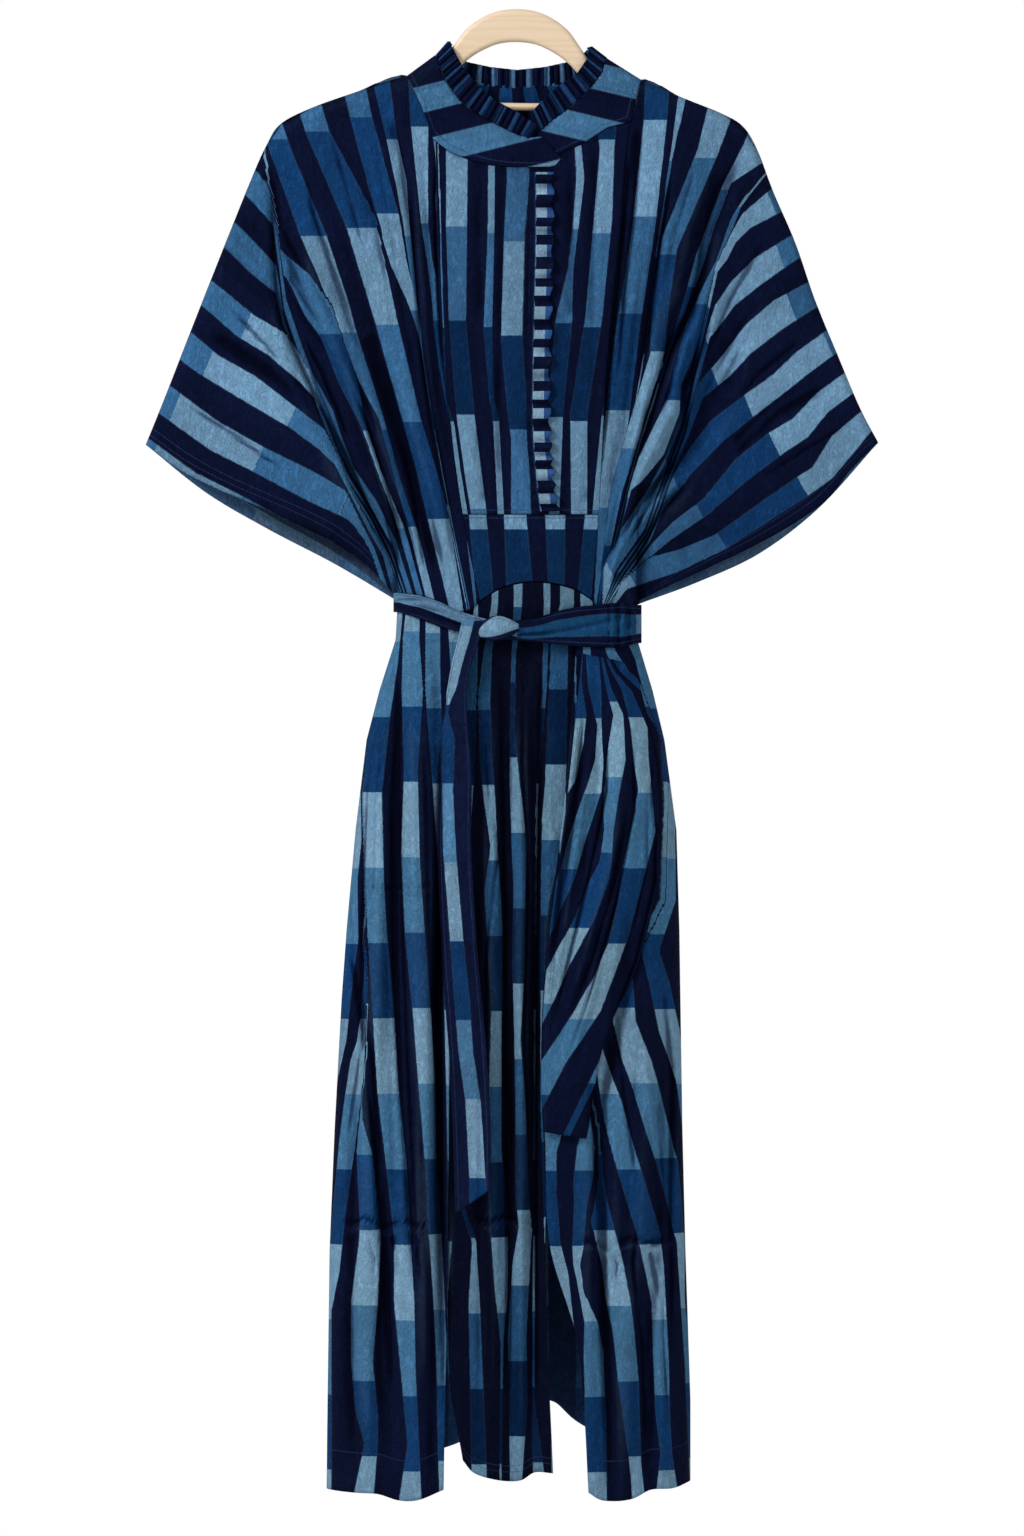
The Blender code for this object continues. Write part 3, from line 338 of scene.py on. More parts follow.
def rumple(across, down, seed, size, slant=0.0, stretch=3.0):
    # smooth seeded unevenness between -1 and 1, longer down the cloth than across it
    rng = np.random.default_rng(seed)
    total = np.zeros(np.shape(across))
    for _ in range(7):
        wave = size * rng.uniform(0.6, 1.7)
        tilt = slant + rng.normal(0, 0.16)
        phase, drift = rng.uniform(0, 6.28, 2)
        bent = 0.8 * np.sin(down / (wave * 2.3) + drift)
        total += np.sin(2 * math.pi * (across - tilt * down) / wave + phase + bent) * np.sin(
            2 * math.pi * down / (wave * stretch * rng.uniform(0.8, 1.6)) + drift
        )
    return total / 3.2


def girth(x, half, depth):
    return depth * (1 - np.minimum(np.abs(x / half), 1.0) ** squareness) ** (1 / squareness)


def lie(across, down):
    # how far the upper dress stands from the middle plane, folds left out, in mm
    shoulder = leastGap((leftShoulder, rightShoulder, neckLine), across, down)
    arm = leastGap((leftArm, rightArm), across, down)
    soft = 0.3 * np.minimum(shoulder, arm)
    drop = 0.95 * (shoulder + arm - np.hypot(shoulder - arm, soft)) / 2
    inward = shoulderRoll - np.minimum(drop, shoulderRoll)
    depth = np.sqrt(shoulderRoll ** 2 - inward ** 2) + chestRise * ease((drop - shoulderRoll) / 230)
    waist = np.hypot(girth(across - waistMiddle, waistHalf, waistDepth), 5)
    return mix(depth, waist, ease((down - 470) / 130))


def upperDepth(across, down, folds, fine=None):
    depth = lie(across, down)
    fold = folded(folds, across, down) * ease((depth - 3) / 8) * (1 - ease((down - 560) / 40))
    if fine is not None:
        fold = fold + fine * ease((depth - 3) / 8)
    return np.maximum(depth + fold, np.minimum(depth, 3.0))


def skirtRows(down):
    rows = np.array(skirt, float)
    return [np.interp(down, rows[:, 0], rows[:, k]) for k in (1, 2, 3)]


def skirtDepth(across, down, folds, fine=None):
    left, right, depth = skirtRows(down)
    base = girth(across - (left + right) / 2, (right - left) / 2, depth)
    fold = folded(folds, across, down) * ease((down - 640) / 60)
    if fine is not None:
        fold = fold + fine * ease((down - 610) / 30)
    return base + fold * ease((base - 4) / 14)


def place(across, down, y):
    x, z = (across - axisAcross) * unit, (crownDown - down) * unit
    return np.stack(np.broadcast_arrays(x, np.asarray(y) * mm, z), -1)


def net(table, us, vs):
    # places (across, down) where lines of a table, numbered first, meet the fractions vs on the way down
    numbers = [row[0] for row in table]
    lines = np.array([row[1:] for row in table], float)
    down = spline(lines.transpose(1, 0, 2), vs)
    at = np.interp(us, numbers, np.arange(len(numbers))) / (len(numbers) - 1)
    grid = spline(down.transpose(1, 0, 2), at)
    return grid[..., 0], grid[..., 1]


def patch(left, right, top, bottom, us, vs):
    # places inside four edge functions that meet at the corners
    u, v = us[:, None, None], vs[None, :, None]
    a, b, c, d = left(vs)[None], right(vs)[None], top(us)[:, None], bottom(us)[:, None]
    ends = np.array([0.0, 1.0])
    e, g = left(ends)
    f, h = right(ends)
    grid = (1 - u) * a + u * b + (1 - v) * c + v * d
    grid = grid - (1 - u) * (1 - v) * e - u * (1 - v) * f - (1 - u) * v * g - u * v * h
    return grid[..., 0], grid[..., 1]


def smooth(points, first=0.0, last=1.0):
    return lambda t: spline(points, mix(first, last, t))


def lined(points):
    return lambda t: straight(points, t)


def runOf(a, b):
    return lambda t: mix(np.asarray(a, float), np.asarray(b, float), np.asarray(t)[:, None])


def stripeAt(stripes, across, down, beyond=42.0):
    # stripe number at each place: light stripe k lies from k + 0.25 to k + 0.75,
    # between edges given at some heights
    edges = []
    for stripe in stripes:
        rows = np.array(stripe, float)
        edges += [np.interp(down, rows[:, 0], rows[:, 1]), np.interp(down, rows[:, 0], rows[:, 2])]
    number = 0.25 + (across - edges[0]) / beyond
    for k in range(len(edges) - 1):
        width = np.maximum(edges[k + 1] - edges[k], 0.4)
        share = np.clip((across - edges[k]) / width, 0, 1)
        number = np.where(across >= edges[k], 0.25 + 0.5 * (k + share), number)
    last = 0.25 + 0.5 * (len(edges) - 1)
    return np.where(across >= edges[-1], last + (across - edges[-1]) / beyond, number)


def bandsAt(bands, across, down):
    # stripe number where each light stripe lies between two lines, listed from the inner one outwards
    lines, numbers = [], []
    for k, band in enumerate(bands):
        lines += [band["inner"], band["outer"]]
        numbers += [k + 0.25, k + 0.75]
    gaps, beyond = [], []
    for line in lines:
        best, side = np.full(across.shape, 1e9), np.zeros(across.shape)
        for a, b in zip(line, line[1:]):
            run = (b[0] - a[0], b[1] - a[1])
            t = np.clip(((across - a[0]) * run[0] + (down - a[1]) * run[1]) / (run[0] ** 2 + run[1] ** 2), 0,
                        1)
            dx, dy = across - a[0] - run[0] * t, down - a[1] - run[1] * t
            gap = np.hypot(dx, dy)
            turn = (run[0] * dy - run[1] * dx) / math.hypot(*run)
            closer = (gap < best - 1e-6) | ((gap < best + 1e-6) & (np.abs(turn) > np.abs(side)))
            side = np.where(closer, turn, side)
            best = np.minimum(best, gap)
        gaps.append(best)
        beyond.append(side)
    turned = 1 if lines[0][0][0] < axisAcross else -1
    number = numbers[0] - gaps[0] / stripeSpan
    for k in range(len(lines)):
        out = beyond[k] * turned > 0
        if k + 1 < len(lines):
            share = gaps[k] / np.maximum(gaps[k] + gaps[k + 1], 0.3)
            number = np.where(out, numbers[k] + (numbers[k + 1] - numbers[k]) * share, number)
        else:
            number = np.where(out, numbers[k] + gaps[k] / stripeSpan, number)
    return number


def runLength(across, down):
    # length along each line of a grid from its first place, in table units
    steps = np.hypot(np.diff(across, axis=1), np.diff(down, axis=1))
    return np.concatenate([np.zeros((len(across), 1)), np.cumsum(steps, 1)], 1)


def blurred(grid, reach):
    # mean over a square of grid places
    for axis in (0, 1):
        moved = np.moveaxis(grid, axis, 0)
        padded = np.concatenate([np.repeat(moved[:1], reach, 0), moved, np.repeat(moved[-1:], reach, 0)])
        sums = np.cumsum(np.concatenate([np.zeros_like(padded[:1]), padded]), 0)
        moved = (sums[2 * reach + 1:] - sums[: -2 * reach - 1]) / (2 * reach + 1)
        grid = np.moveaxis(moved, 0, axis)
    return grid


# Materials
def linear(*screen):
    # a screen colour, 0 to 255, as light
    return tuple((c / 255 / 12.92) if c <= 10 else ((c / 255 + 0.055) / 1.055) ** 2.4 for c in screen)


def plug(tree, socket, value):
    if isinstance(value, Value):
        tree.links.new(value.socket, socket)
    elif hasattr(socket.default_value, "__len__") and len(socket.default_value) == 4 and len(value) == 3:
        socket.default_value = (*value, 1)
    else:
        socket.default_value = value


class Value:
    # a node's output that can be used in sums
    def __init__(self, tree, socket):
        self.tree, self.socket = tree, socket

    def math(self, operation, *others):
        made = self.tree.nodes.new("ShaderNodeMath")
        made.operation = operation
        for socket, value in zip(made.inputs, (self, *others)):
            plug(self.tree, socket, value)
        return Value(self.tree, made.outputs[0])

    def __add__(self, other):
        return self.math("ADD", other)

    def __sub__(self, other):
        return self.math("SUBTRACT", other)

    def __mul__(self, other):
        return self.math("MULTIPLY", other)

    def __truediv__(self, other):
        return self.math("DIVIDE", other)

    def __rsub__(self, other):
        return self.math("MULTIPLY_ADD", -1.0, other)

    __radd__, __rmul__ = __add__, __mul__

    def rise(self, low, high):
        # 0 below low, 1 above high, smooth between
        made = self.tree.nodes.new("ShaderNodeMapRange")
        made.interpolation_type = "SMOOTHSTEP"
        for socket, value in zip(made.inputs, (self, low, high, 0.0, 1.0)):
            plug(self.tree, socket, value)
        return Value(self.tree, made.outputs[0])


class Skin:
    # one material and its node tree
    def __init__(self, name, **fixed):
        self.material = bpy.data.materials.new(name)
        self.material.use_nodes = True
        self.tree = self.material.node_tree
        self.shader = self.tree.nodes["Principled BSDF"]
        for socket, value in fixed.items():
            self.set(socket.replace("_", " ").title().replace("Ior", "IOR"), value)

    def node(self, kind, settings=None, sockets=None):
        made = self.tree.nodes.new(kind)
        for name, value in (settings or {}).items():
            setattr(made, name, value)
        for key, value in (sockets or {}).items():
            plug(self.tree, made.inputs[key], value)
        return made

    def out(self, kind, settings=None, sockets=None, output=0):
        return Value(self.tree, self.node(kind, settings, sockets).outputs[output])

    def set(self, socket, value):
        plug(self.tree, self.shader.inputs[socket], value)

    def colour(self, factor, a, b, blend="MIX"):
        settings = {"data_type": "RGBA", "blend_type": blend}
        return self.out("ShaderNodeMix", settings, {0: factor, 6: a, 7: b}, 2)

    def spots(self, vector, scale, detail=2.0, rough=0.5):
        return self.out("ShaderNodeTexNoise", {"noise_dimensions": "3D"}, {
            "Vector": vector, "Scale": scale, "Detail": detail, "Roughness": rough})

    def chance(self, *numbers):
        joined = self.out("ShaderNodeCombineXYZ", {}, dict(enumerate(numbers)))
        return self.out("ShaderNodeTexWhiteNoise", {"noise_dimensions": "3D"}, {"Vector": joined})

    def stretched(self, vector, x, y, z):
        return self.out("ShaderNodeVectorMath", {"operation": "MULTIPLY"}, {0: vector, 1: (x, y, z)})

    def apart(self, vector):
        # the first two numbers of a vector
        made = self.node("ShaderNodeSeparateXYZ", {}, {0: vector})
        return [Value(self.tree, made.outputs[k]) for k in (0, 1)]

    def mapped(self, name):
        return self.out("ShaderNodeUVMap", {"uv_map": name})

    def bump(self, height, distance, strength=1.0, under=None):
        sockets = {"Height": height, "Distance": distance, "Strength": strength}
        if under is not None:
            sockets["Normal"] = under
        return self.out("ShaderNodeBump", {}, sockets)


# Screen colours of the dyes. Change these to dye the dress anew.
dyes = {
    "dark": (20, 64, 114),
    "light": (114, 156, 190),
    "mid": (58, 108, 154),
    "ground": (12, 20, 50),
    "reverse": (124, 140, 176),
    "thread": (58, 74, 122),
}


# How uneven the cloth's tone is: from one dyed block to the next, by thick and thin yarns, cloudy dye, lint,
# crinkles and their veins. Then how much shows of the paler line where dyes meet, of the painted ridge highlight and
# of the sewing thread.
unevenness = {"lot": 0.30, "slubs": 0.5, "clouds": 0.5, "grain": 0.26, "crinkle": 0.5, "veins": 0.05,
              "seam": 0.05, "ridgeHighlight": 0.05, "thread": 0.45}


def cloth(name, block, jitter, offset=0.0, order=("dark", "light", "mid"), half=0.25, wash=0.0,
          stitches=(0.009, 0.0145), **dyed):
    # Striped cotton. The map "weave" counts stripes by stripePeriod in u and runs down the stripe in v, in metres.
    # The second map holds hollowness (0.5 is level), which gives the painted shade in hollows and the painted
    # highlight on ridges, and the distance to the nearest finished edge, in metres.
    light = {key: linear(*colour) for key, colour in {**dyes, **dyed}.items()}
    skin = Skin(name, roughness=0.9, specular_ior_level=0.03)
    inPlace = skin.out("ShaderNodeTexCoord", {}, {}, 3)
    weave = skin.mapped("weave")
    u, v = skin.apart(weave)
    hollow, edge = skin.apart(skin.mapped("wear"))

    bleed = skin.spots(skin.stretched(weave, 700, 160, 1), 1.0, 3.0)
    number = u / stripePeriod + (bleed - 0.5) * 0.035
    stripe = number.math("FLOOR")
    within = (number - stripe - 0.5).math("ABSOLUTE")
    isLight = 1 - within.rise(half - 0.012, half + 0.012)
    rowAt = (v + offset) / block + (skin.chance(stripe, 3.0) - 0.5) * jitter + (bleed - 0.5) * 0.02
    row = rowAt.math("FLOOR")
    third = row - (row / 3).math("FLOOR") * 3
    first, second, last = (light[key] for key in order)
    blocks = skin.colour(third.rise(0.4, 0.6), first, second)
    blocks = skin.colour(third.rise(1.4, 1.6), blocks, last)
    lot = skin.chance(stripe, row, 7.0)
    base = skin.colour(isLight, light["ground"], blocks)

    # a thin paler line where one dye meets the next
    seam = within.rise(half - 0.03, half) * (1 - within.rise(half, half + 0.03))
    step = (rowAt - row - 0.5).math("ABSOLUTE").rise(0.485, 0.499) * isLight
    base = skin.colour((seam + step).math("MINIMUM", 1.0) * unevenness["seam"], base, light["light"])

    # yarns that run thick and thin, cloudy dye, pale lint and crinkles
    slubsDown = skin.spots(skin.stretched(weave, 1500, 75, 1), 1.0, 2.0)
    slubsAcross = skin.spots(skin.stretched(weave, 110, 1900, 1), 1.0, 2.0)
    clouds = skin.spots(inPlace, 26.0, 4.0, 0.6)
    grain = skin.spots(inPlace, 900.0, 2.0, 0.7)
    crinkle = skin.spots(skin.stretched(inPlace, 1.0, 1.0, 0.6), 170.0, 4.0, 0.7)
    veins = 1 - (crinkle - 0.5).math("ABSOLUTE").rise(0.0, 0.07)
    tone = 1.0 + veins * unevenness["veins"]
    for part, key in ((lot, "lot"), (slubsDown, "slubs"), (slubsAcross, "slubs"), (clouds, "clouds"),
                      (grain, "grain"), (crinkle, "crinkle")):
        tone = tone + (part - 0.5) * unevenness[key]
    shade = hollow.rise(0.0, 0.5) * 0.7 + hollow.rise(0.5, 1.0) * 0.12 + 0.3  # painted shade, darker in hollows, and painted highlight, paler on ridges
    bluer = tone * shade.math("POWER", 0.85)
    toneAndShade = skin.out("ShaderNodeCombineColor", {}, {0: tone * shade, 1: tone * shade, 2: bluer})
    base = skin.colour(1.0, base, toneAndShade, "MULTIPLY")
    # painted highlight: the tops of ridges paler
    base = skin.colour(hollow.rise(0.62, 0.95) * unevenness["ridgeHighlight"], base, light["light"])
    if wash:
        base = skin.colour(wash, base, light["reverse"])

    height = (slubsDown + slubsAcross) * 0.5
    if stitches:
        dashes = ((u * 2.2 + v).math("ABSOLUTE") / 0.0034).math("FRACT").rise(0.18, 0.26)
        lines = [1 - (edge - where).math("ABSOLUTE").rise(0.00025, 0.0006) for where in stitches]
        sewn = lines[0] if len(lines) == 1 else lines[0].math("MAXIMUM", lines[1])
        base = skin.colour(sewn * dashes * unevenness["thread"], base, light["thread"])
        hemmed = 1 - edge.rise(max(stitches) - 0.0015, max(stitches) + 0.0015)
        height = height + hemmed * 0.9 - sewn * dashes * 0.5
    skin.set("Base Color", base)
    skin.set("Roughness", 0.80 + (slubsDown - 0.5) * 0.14 + (clouds - 0.5) * 0.12)
    wrinkles = skin.spots(skin.stretched(inPlace, 1.0, 1.0, 0.45), 62.0, 5.0, 0.62)
    fine = skin.bump(height + grain * 0.6, 0.0006, 0.8)
    skin.set("Normal", skin.bump(wrinkles + veins * 0.10 + crinkle * 0.16, 0.008, 0.85, fine))
    return skin.material


beech = {"pale": (245, 220, 190), "dark": (236, 209, 176)}


def wood(name):
    skin = Skin(name, roughness=0.42, specular_ior_level=0.4, coat_weight=0.15, coat_roughness=0.3)
    inPlace = skin.out("ShaderNodeTexCoord", {}, {}, 3)
    bent = skin.spots(inPlace, 5.0, 2.0)
    lines = skin.out("ShaderNodeTexWave", {"bands_direction": "Z"}, {
        "Vector": skin.stretched(inPlace, 0.12, 1.0, 1.0), "Scale": 46.0, "Distortion": 9.0, "Detail": 3.0,
        "Detail Scale": 1.6})
    fibres = skin.spots(skin.stretched(inPlace, 30.0, 500.0, 500.0), 1.0, 3.0, 0.6)
    shade = lines * 0.35 + fibres * 0.45 + bent * 0.3
    skin.set("Base Color", skin.colour(shade.rise(0.2, 0.95), linear(*beech["pale"]), linear(*beech["dark"])))
    skin.set("Roughness", 0.36 + fibres * 0.18)
    skin.set("Normal", skin.bump(fibres + lines * 0.2, 0.0001, 0.4))
    return skin.material


# Sheets
# Hollows of the cloth, for the painted shade and highlight of wide folds and narrow creases: how many grid places
# round about each place count, then how many mm are fully hollow.
hollows = {"wide": (9, 5.0), "narrow": (3, 1.5)}


def below(depth, kind):
    reach, full = hollows[kind]
    return (depth - blurred(depth, max(2 if kind == "wide" else 1, round(reach * fineness)))) / full


def sheetPiece(name, spots, number, run, hem, side=-1, materials=(), thickness=wall, closed=False):
    # spots: grid of places in metres, number and run: the weave map, hem: distance to finished edges in metres
    columns, rows = spots.shape[0] - 1, spots.shape[1] - 1
    made = bmesh.new()
    bmesh.ops.create_grid(made, x_segments=columns, y_segments=rows, size=0.5)
    mesh = bpy.data.meshes.new(name + "_cloth")
    made.to_mesh(mesh)
    made.free()
    flat = np.empty(len(mesh.vertices) * 3)
    mesh.vertices.foreach_get("co", flat)
    flat = flat.reshape(-1, 3)
    i = np.rint((flat[:, 0] + 0.5) * columns).astype(int)
    j = np.rint((0.5 - flat[:, 1]) * rows).astype(int)
    mesh.vertices.foreach_set("co", spots[i, j].ravel())
    mesh.update()
    facing = np.empty(len(mesh.polygons) * 3)
    mesh.polygons.foreach_get("normal", facing)
    if facing.reshape(-1, 3)[:, 1].sum() * side < 0:
        mesh.flip_normals()  # the dyed face looks outwards, the reverse inwards
    depth = side * spots[..., 1] / mm
    # how hollow each place is, for the painted shade in hollows and the painted highlight on ridges
    hollow = 0.5 + 0.5 * np.clip(below(depth, "wide") + np.minimum(below(depth, "narrow"), 0), -1, 1)
    corners = np.empty(len(mesh.loops), int)
    mesh.loops.foreach_get("vertex_index", corners)
    for key, first, second in (("weave", number * stripePeriod, run), ("wear", hollow, hem)):
        layer = mesh.uv_layers.new(name=key)
        pair = np.stack([first[i, j], second[i, j]], -1)[corners]
        layer.data.foreach_set("uv", pair.ravel())
    if closed:
        welded = bmesh.new()
        welded.from_mesh(mesh)
        bmesh.ops.remove_doubles(welded, verts=welded.verts, dist=0.00001)
        welded.to_mesh(mesh)
        welded.free()
    piece = bpy.data.objects.new(name + "_cloth", mesh)
    bpy.context.scene.collection.objects.link(piece)
    for material in materials:
        mesh.materials.append(material)
    thick = piece.modifiers.new("wall", "SOLIDIFY")
    thick.thickness = thickness * mm
    thick.offset = 0
    thick.material_offset = 1 if len(materials) > 1 else 0
    mesh.shade_smooth()
    return piece


def declare(name, piece):
    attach(piece, "root")
    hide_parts(name)


def pulledBack(spots, gap):
    # the cut edges stand back a little from the seams
    spots = spots.copy()
    for axis in (0, 1):
        moved = np.moveaxis(spots, axis, 0)
        for edge, inner in ((0, 1), (-1, -2)):
            inward = moved[inner] - moved[edge]
            size = np.maximum(np.linalg.norm(inward, axis=-1, keepdims=True), 1e-9)
            moved[edge] += inward / size * gap * mm
    return spots


# Stripes of the skirt: left and right edge of each light stripe at some heights
leftStripes = (
    ((604, 380, 388), (700, 368, 374), (793, 357, 361), (840, 354, 362), (880, 350, 358), (940, 345, 359),
     (980, 341, 353), (1040, 334, 347), (1080, 326, 338), (1120, 318, 330)),
    ((604, 396, 396), (940, 364, 364), (960, 366, 366.5), (980, 365, 368), (1040, 358, 367),
     (1060, 351, 366), (1100, 345, 362), (1140, 340, 357), (1213, 333, 346), (1270, 328, 340),
     (1310, 322, 332)),
    ((604, 397, 397), (940, 364.2, 364.2), (960, 366.7, 366.7), (980, 368.2, 368.2), (1040, 367.2, 367.2),
     (1060, 366.2, 366.2), (1100, 362.2, 362.2), (1120, 360, 363), (1150, 357, 372), (1220, 361, 380),
     (1240, 360, 381), (1300, 352, 378), (1360, 352, 373), (1410, 357, 378), (1440, 366, 378),
     (1495, 354, 374)),
    ((604, 397, 404), (660, 388, 399), (720, 370, 390), (793, 363, 382), (880, 365, 384), (933, 368, 387),
     (1010, 373, 394), (1088, 378, 399), (1160, 386, 407), (1237, 395, 411), (1300, 395, 415),
     (1370, 402, 416), (1440, 409, 419), (1495, 400, 422)),
    ((604, 407, 420), (640, 403, 420), (690, 402, 424), (770, 405, 418), (855, 402, 420), (935, 406, 425),
     (1015, 414, 431), (1080, 419, 435), (1160, 426, 436), (1230, 429, 442), (1300, 434, 446),
     (1360, 437, 447), (1495, 440, 452)),
    ((604, 426, 440), (690, 425, 441), (760, 431, 444), (860, 438, 452), (960, 444, 458), (1490, 456, 470)),
    ((604, 447, 462), (690, 452, 468), (860, 462, 478)),
)
centreStripes = (
    ((604, 468, 478), (700, 466, 478), (780, 466, 474), (840, 466, 469), (900, 452, 453),
     (1200, 460, 461), (1240, 473, 476), (1300, 469, 480), (1400, 471, 484), (1475, 472, 487)),
    ((604, 492, 498), (650, 484, 492), (700, 477, 490), (762, 480, 492), (800, 484, 495), (845, 491, 497),
     (890, 485, 500), (925, 487, 502), (1000, 492, 501), (1150, 488, 501), (1218, 490, 508),
     (1290, 495, 508), (1340, 501, 503), (1475, 500, 501)),
    ((604, 514, 522), (660, 512, 515), (730, 511, 514), (780, 510, 519), (845, 512, 527), (885, 514, 525),
     (965, 513, 524), (1040, 515, 520), (1100, 516, 525), (1190, 516, 528), (1225, 519, 532),
     (1260, 513, 530), (1330, 508, 526), (1400, 509, 527), (1475, 510, 522)),
    ((604, 544, 550), (690, 543, 547), (800, 536, 537), (1000, 534, 535), (1400, 532, 534),
     (1475, 533, 545)),
    ((604, 560, 574), (645, 550, 568), (700, 548, 567), (780, 545, 566), (820, 542, 562), (870, 541, 556),
     (900, 541, 549), (930, 541, 545), (1100, 541, 542), (1475, 552, 553)),
    ((604, 580, 592), (700, 576, 588), (1100, 560, 570), (1475, 562, 572)),
)
drapeStripes = (
    ((650, 578, 583), (680, 574, 581), (715, 573, 586), (745, 566, 583), (780, 562, 575), (800, 556, 563),
     (900, 500, 512)),
    ((650, 585, 598), (690, 588, 601), (725, 597, 601), (760, 595, 603), (790, 585, 602), (840, 568, 585),
     (880, 557, 573), (905, 548, 562), (960, 520, 538)),
    ((650, 599, 601), (672, 603, 606), (690, 606, 611), (715, 613, 623), (760, 606, 625), (795, 603, 618),
     (830, 604, 613), (860, 600, 611), (880, 590, 608), (920, 573, 593), (965, 548, 569),
     (1000, 530, 553), (1060, 500, 524)),
    ((650, 602, 604), (672, 611, 614), (691, 622, 631), (728, 630, 647), (760, 633, 648), (790, 638, 651),
     (830, 630, 655), (870, 621, 645), (900, 618, 637), (940, 609, 626), (975, 594, 613),
     (1010, 574, 600), (1060, 541, 566), (1140, 500, 524)),
    ((650, 606, 615), (672, 620, 628), (691, 640, 650), (719, 655, 663), (825, 667, 674), (850, 664, 673),
     (880, 660, 666), (940, 648, 653), (1000, 628, 634), (1140, 560, 566)),
)
rightStripes = (
    ((604, 540, 545), (1060, 530, 536), (1090, 560, 565), (1130, 543, 562), (1150, 541, 556),
     (1190, 541, 556), (1240, 546, 560), (1270, 556, 568), (1300, 562, 571), (1340, 574, 575),
     (1495, 580, 581)),
    ((604, 560, 566), (1060, 560, 564), (1110, 585, 589), (1125, 583, 591), (1145, 577, 595),
     (1180, 573, 592), (1200, 574, 587), (1245, 572, 583), (1262, 573, 579), (1290, 579, 583),
     (1320, 584, 597), (1350, 583, 603), (1385, 584, 604), (1440, 584, 606), (1495, 586, 606)),
    ((604, 574, 574.4), (1060, 580, 580.4), (1100, 592, 592.4), (1130, 598, 598.5), (1175, 598, 603),
     (1200, 594, 607), (1220, 590, 612), (1262, 601, 623), (1300, 606, 630), (1325, 612, 633),
     (1380, 618, 638), (1460, 629, 640), (1495, 632, 644)),
    ((604, 582, 590), (660, 583, 590), (900, 585, 592), (1050, 594, 602), (1100, 600, 621),
     (1130, 606, 629), (1170, 617, 641), (1230, 636, 659), (1262, 643, 663), (1300, 651, 665),
     (1360, 653, 668), (1410, 655, 669), (1450, 660, 671), (1495, 655, 678)),
    ((604, 600, 608), (650, 605, 614), (675, 616, 630), (690, 630, 646), (715, 648, 661), (730, 660, 668),
     (800, 664, 674), (900, 660, 666), (975, 618, 632), (1020, 612, 635), (1060, 622, 651),
     (1090, 633, 659), (1130, 645, 669), (1160, 655, 677), (1200, 666, 681), (1240, 676, 684),
     (1300, 680, 684), (1360, 684, 690), (1495, 690, 696)),
    ((604, 620, 627), (640, 626, 635), (660, 635, 645), (690, 642, 651), (760, 668, 674), (900, 665, 675),
     (950, 640, 658), (980, 648, 668), (1030, 658, 679), (1080, 676, 685), (1160, 686, 700),
     (1495, 700, 706)),
)
bodiceStripes = (
    ((120, 430, 436), (240, 431, 436), (330, 430, 434), (420, 432, 438), (515, 440, 446)),
    ((120, 437, 437.3), (400, 446, 446.4), (425, 451.5, 454.5), (470, 456, 460.5), (515, 463, 468)),
    ((120, 446, 468), (225, 446, 467), (325, 449, 466), (420, 457, 475), (470, 464, 481), (515, 471, 487)),
    ((120, 489, 495), (240, 488, 494), (330, 484, 492), (400, 490, 493), (420, 493, 499), (515, 498, 504)),
    ((120, 505, 527), (180, 507, 529), (240, 504, 524), (340, 501, 522), (415, 508, 527), (440, 511, 529),
     (515, 511, 531)),
    ((120, 574, 578), (180, 577, 584), (230, 573, 578), (270, 568, 573), (320, 556, 572), (415, 548, 563),
     (515, 549, 559)),
    ((120, 596, 616), (150, 600, 614), (218, 594, 612), (318, 585, 602), (415, 570, 587), (515, 571, 587)),
    ((120, 640, 650), (330, 618, 639), (420, 601, 620), (515, 592, 608)),
)
bandStripes = (
    ((515, 469, 486), (600, 477, 494)),
    ((515, 504, 526), (600, 507, 534)),
    ((515, 545, 565), (600, 549, 564)),
    ((515, 585, 600), (600, 577, 590)),
)

# Materials of the pieces
frontBlock = 0.0921
skirtBlock = 0.0713
bodyCloth = cloth("striped_front", frontBlock, 0.04)
# Reverse side of the upper cloth: its own greyer, washed tone, with the dark dye and the wash lightened as painted
# light, so that it looks lit where it shows below the cuffs.
sleeveReverseLit = cloth("striped_reverse_lit", frontBlock, 0.18, wash=0.3, stitches=(),
                      reverse=(104, 140, 182), dark=(58, 104, 150))
skirtCloth = cloth("striped_skirt", skirtBlock, 0.28, stitches=(0.038,), mid=(72, 122, 162),
                   light=(124, 164, 194))
# Reverse side of the skirt: its own greyer, washed tone, darkened in the wash colour as painted shade for the inside
# of the skirt.
skirtReverseShaded = cloth("striped_skirt_reverse_shaded", skirtBlock, 0.22, wash=0.3, stitches=(), reverse=(60, 88, 134))
# Centre panel: the same stripes in darker dyes, as painted shade for the recessed middle of the skirt.
centreShadedCloth = cloth("striped_centre_shaded", skirtBlock, 0.5, 0.012,
                    ground=(10, 15, 38), dark=(8, 36, 72), mid=(40, 84, 126), light=(108, 146, 174))
drapeCloth = cloth("striped_drape", skirtBlock, 0.3, mid=(68, 118, 158), light=(126, 166, 192))
bodiceCloth = cloth("striped_bodice", 0.0893, 0.1, 0.0893, stitches=(0.004,), dark=(12, 46, 88),
                    mid=(62, 110, 156))
bandCloth = cloth("striped_band", 0.0874, 0.0, order=("light", "dark", "dark"), stitches=(0.0035,),
                  dark=(12, 48, 88))
yokeCloth = cloth("striped_yoke", 0.06, 0.0, order=("mid", "mid", "light"), stitches=(0.004,),
                  mid=(74, 124, 166), light=(118, 160, 190))
collarCloth = cloth("dark_collar", 0.3, 0.0, order=("light", "mid", "mid"), half=0.17, stitches=(),
                    mid=(32, 66, 112), light=(78, 118, 158))
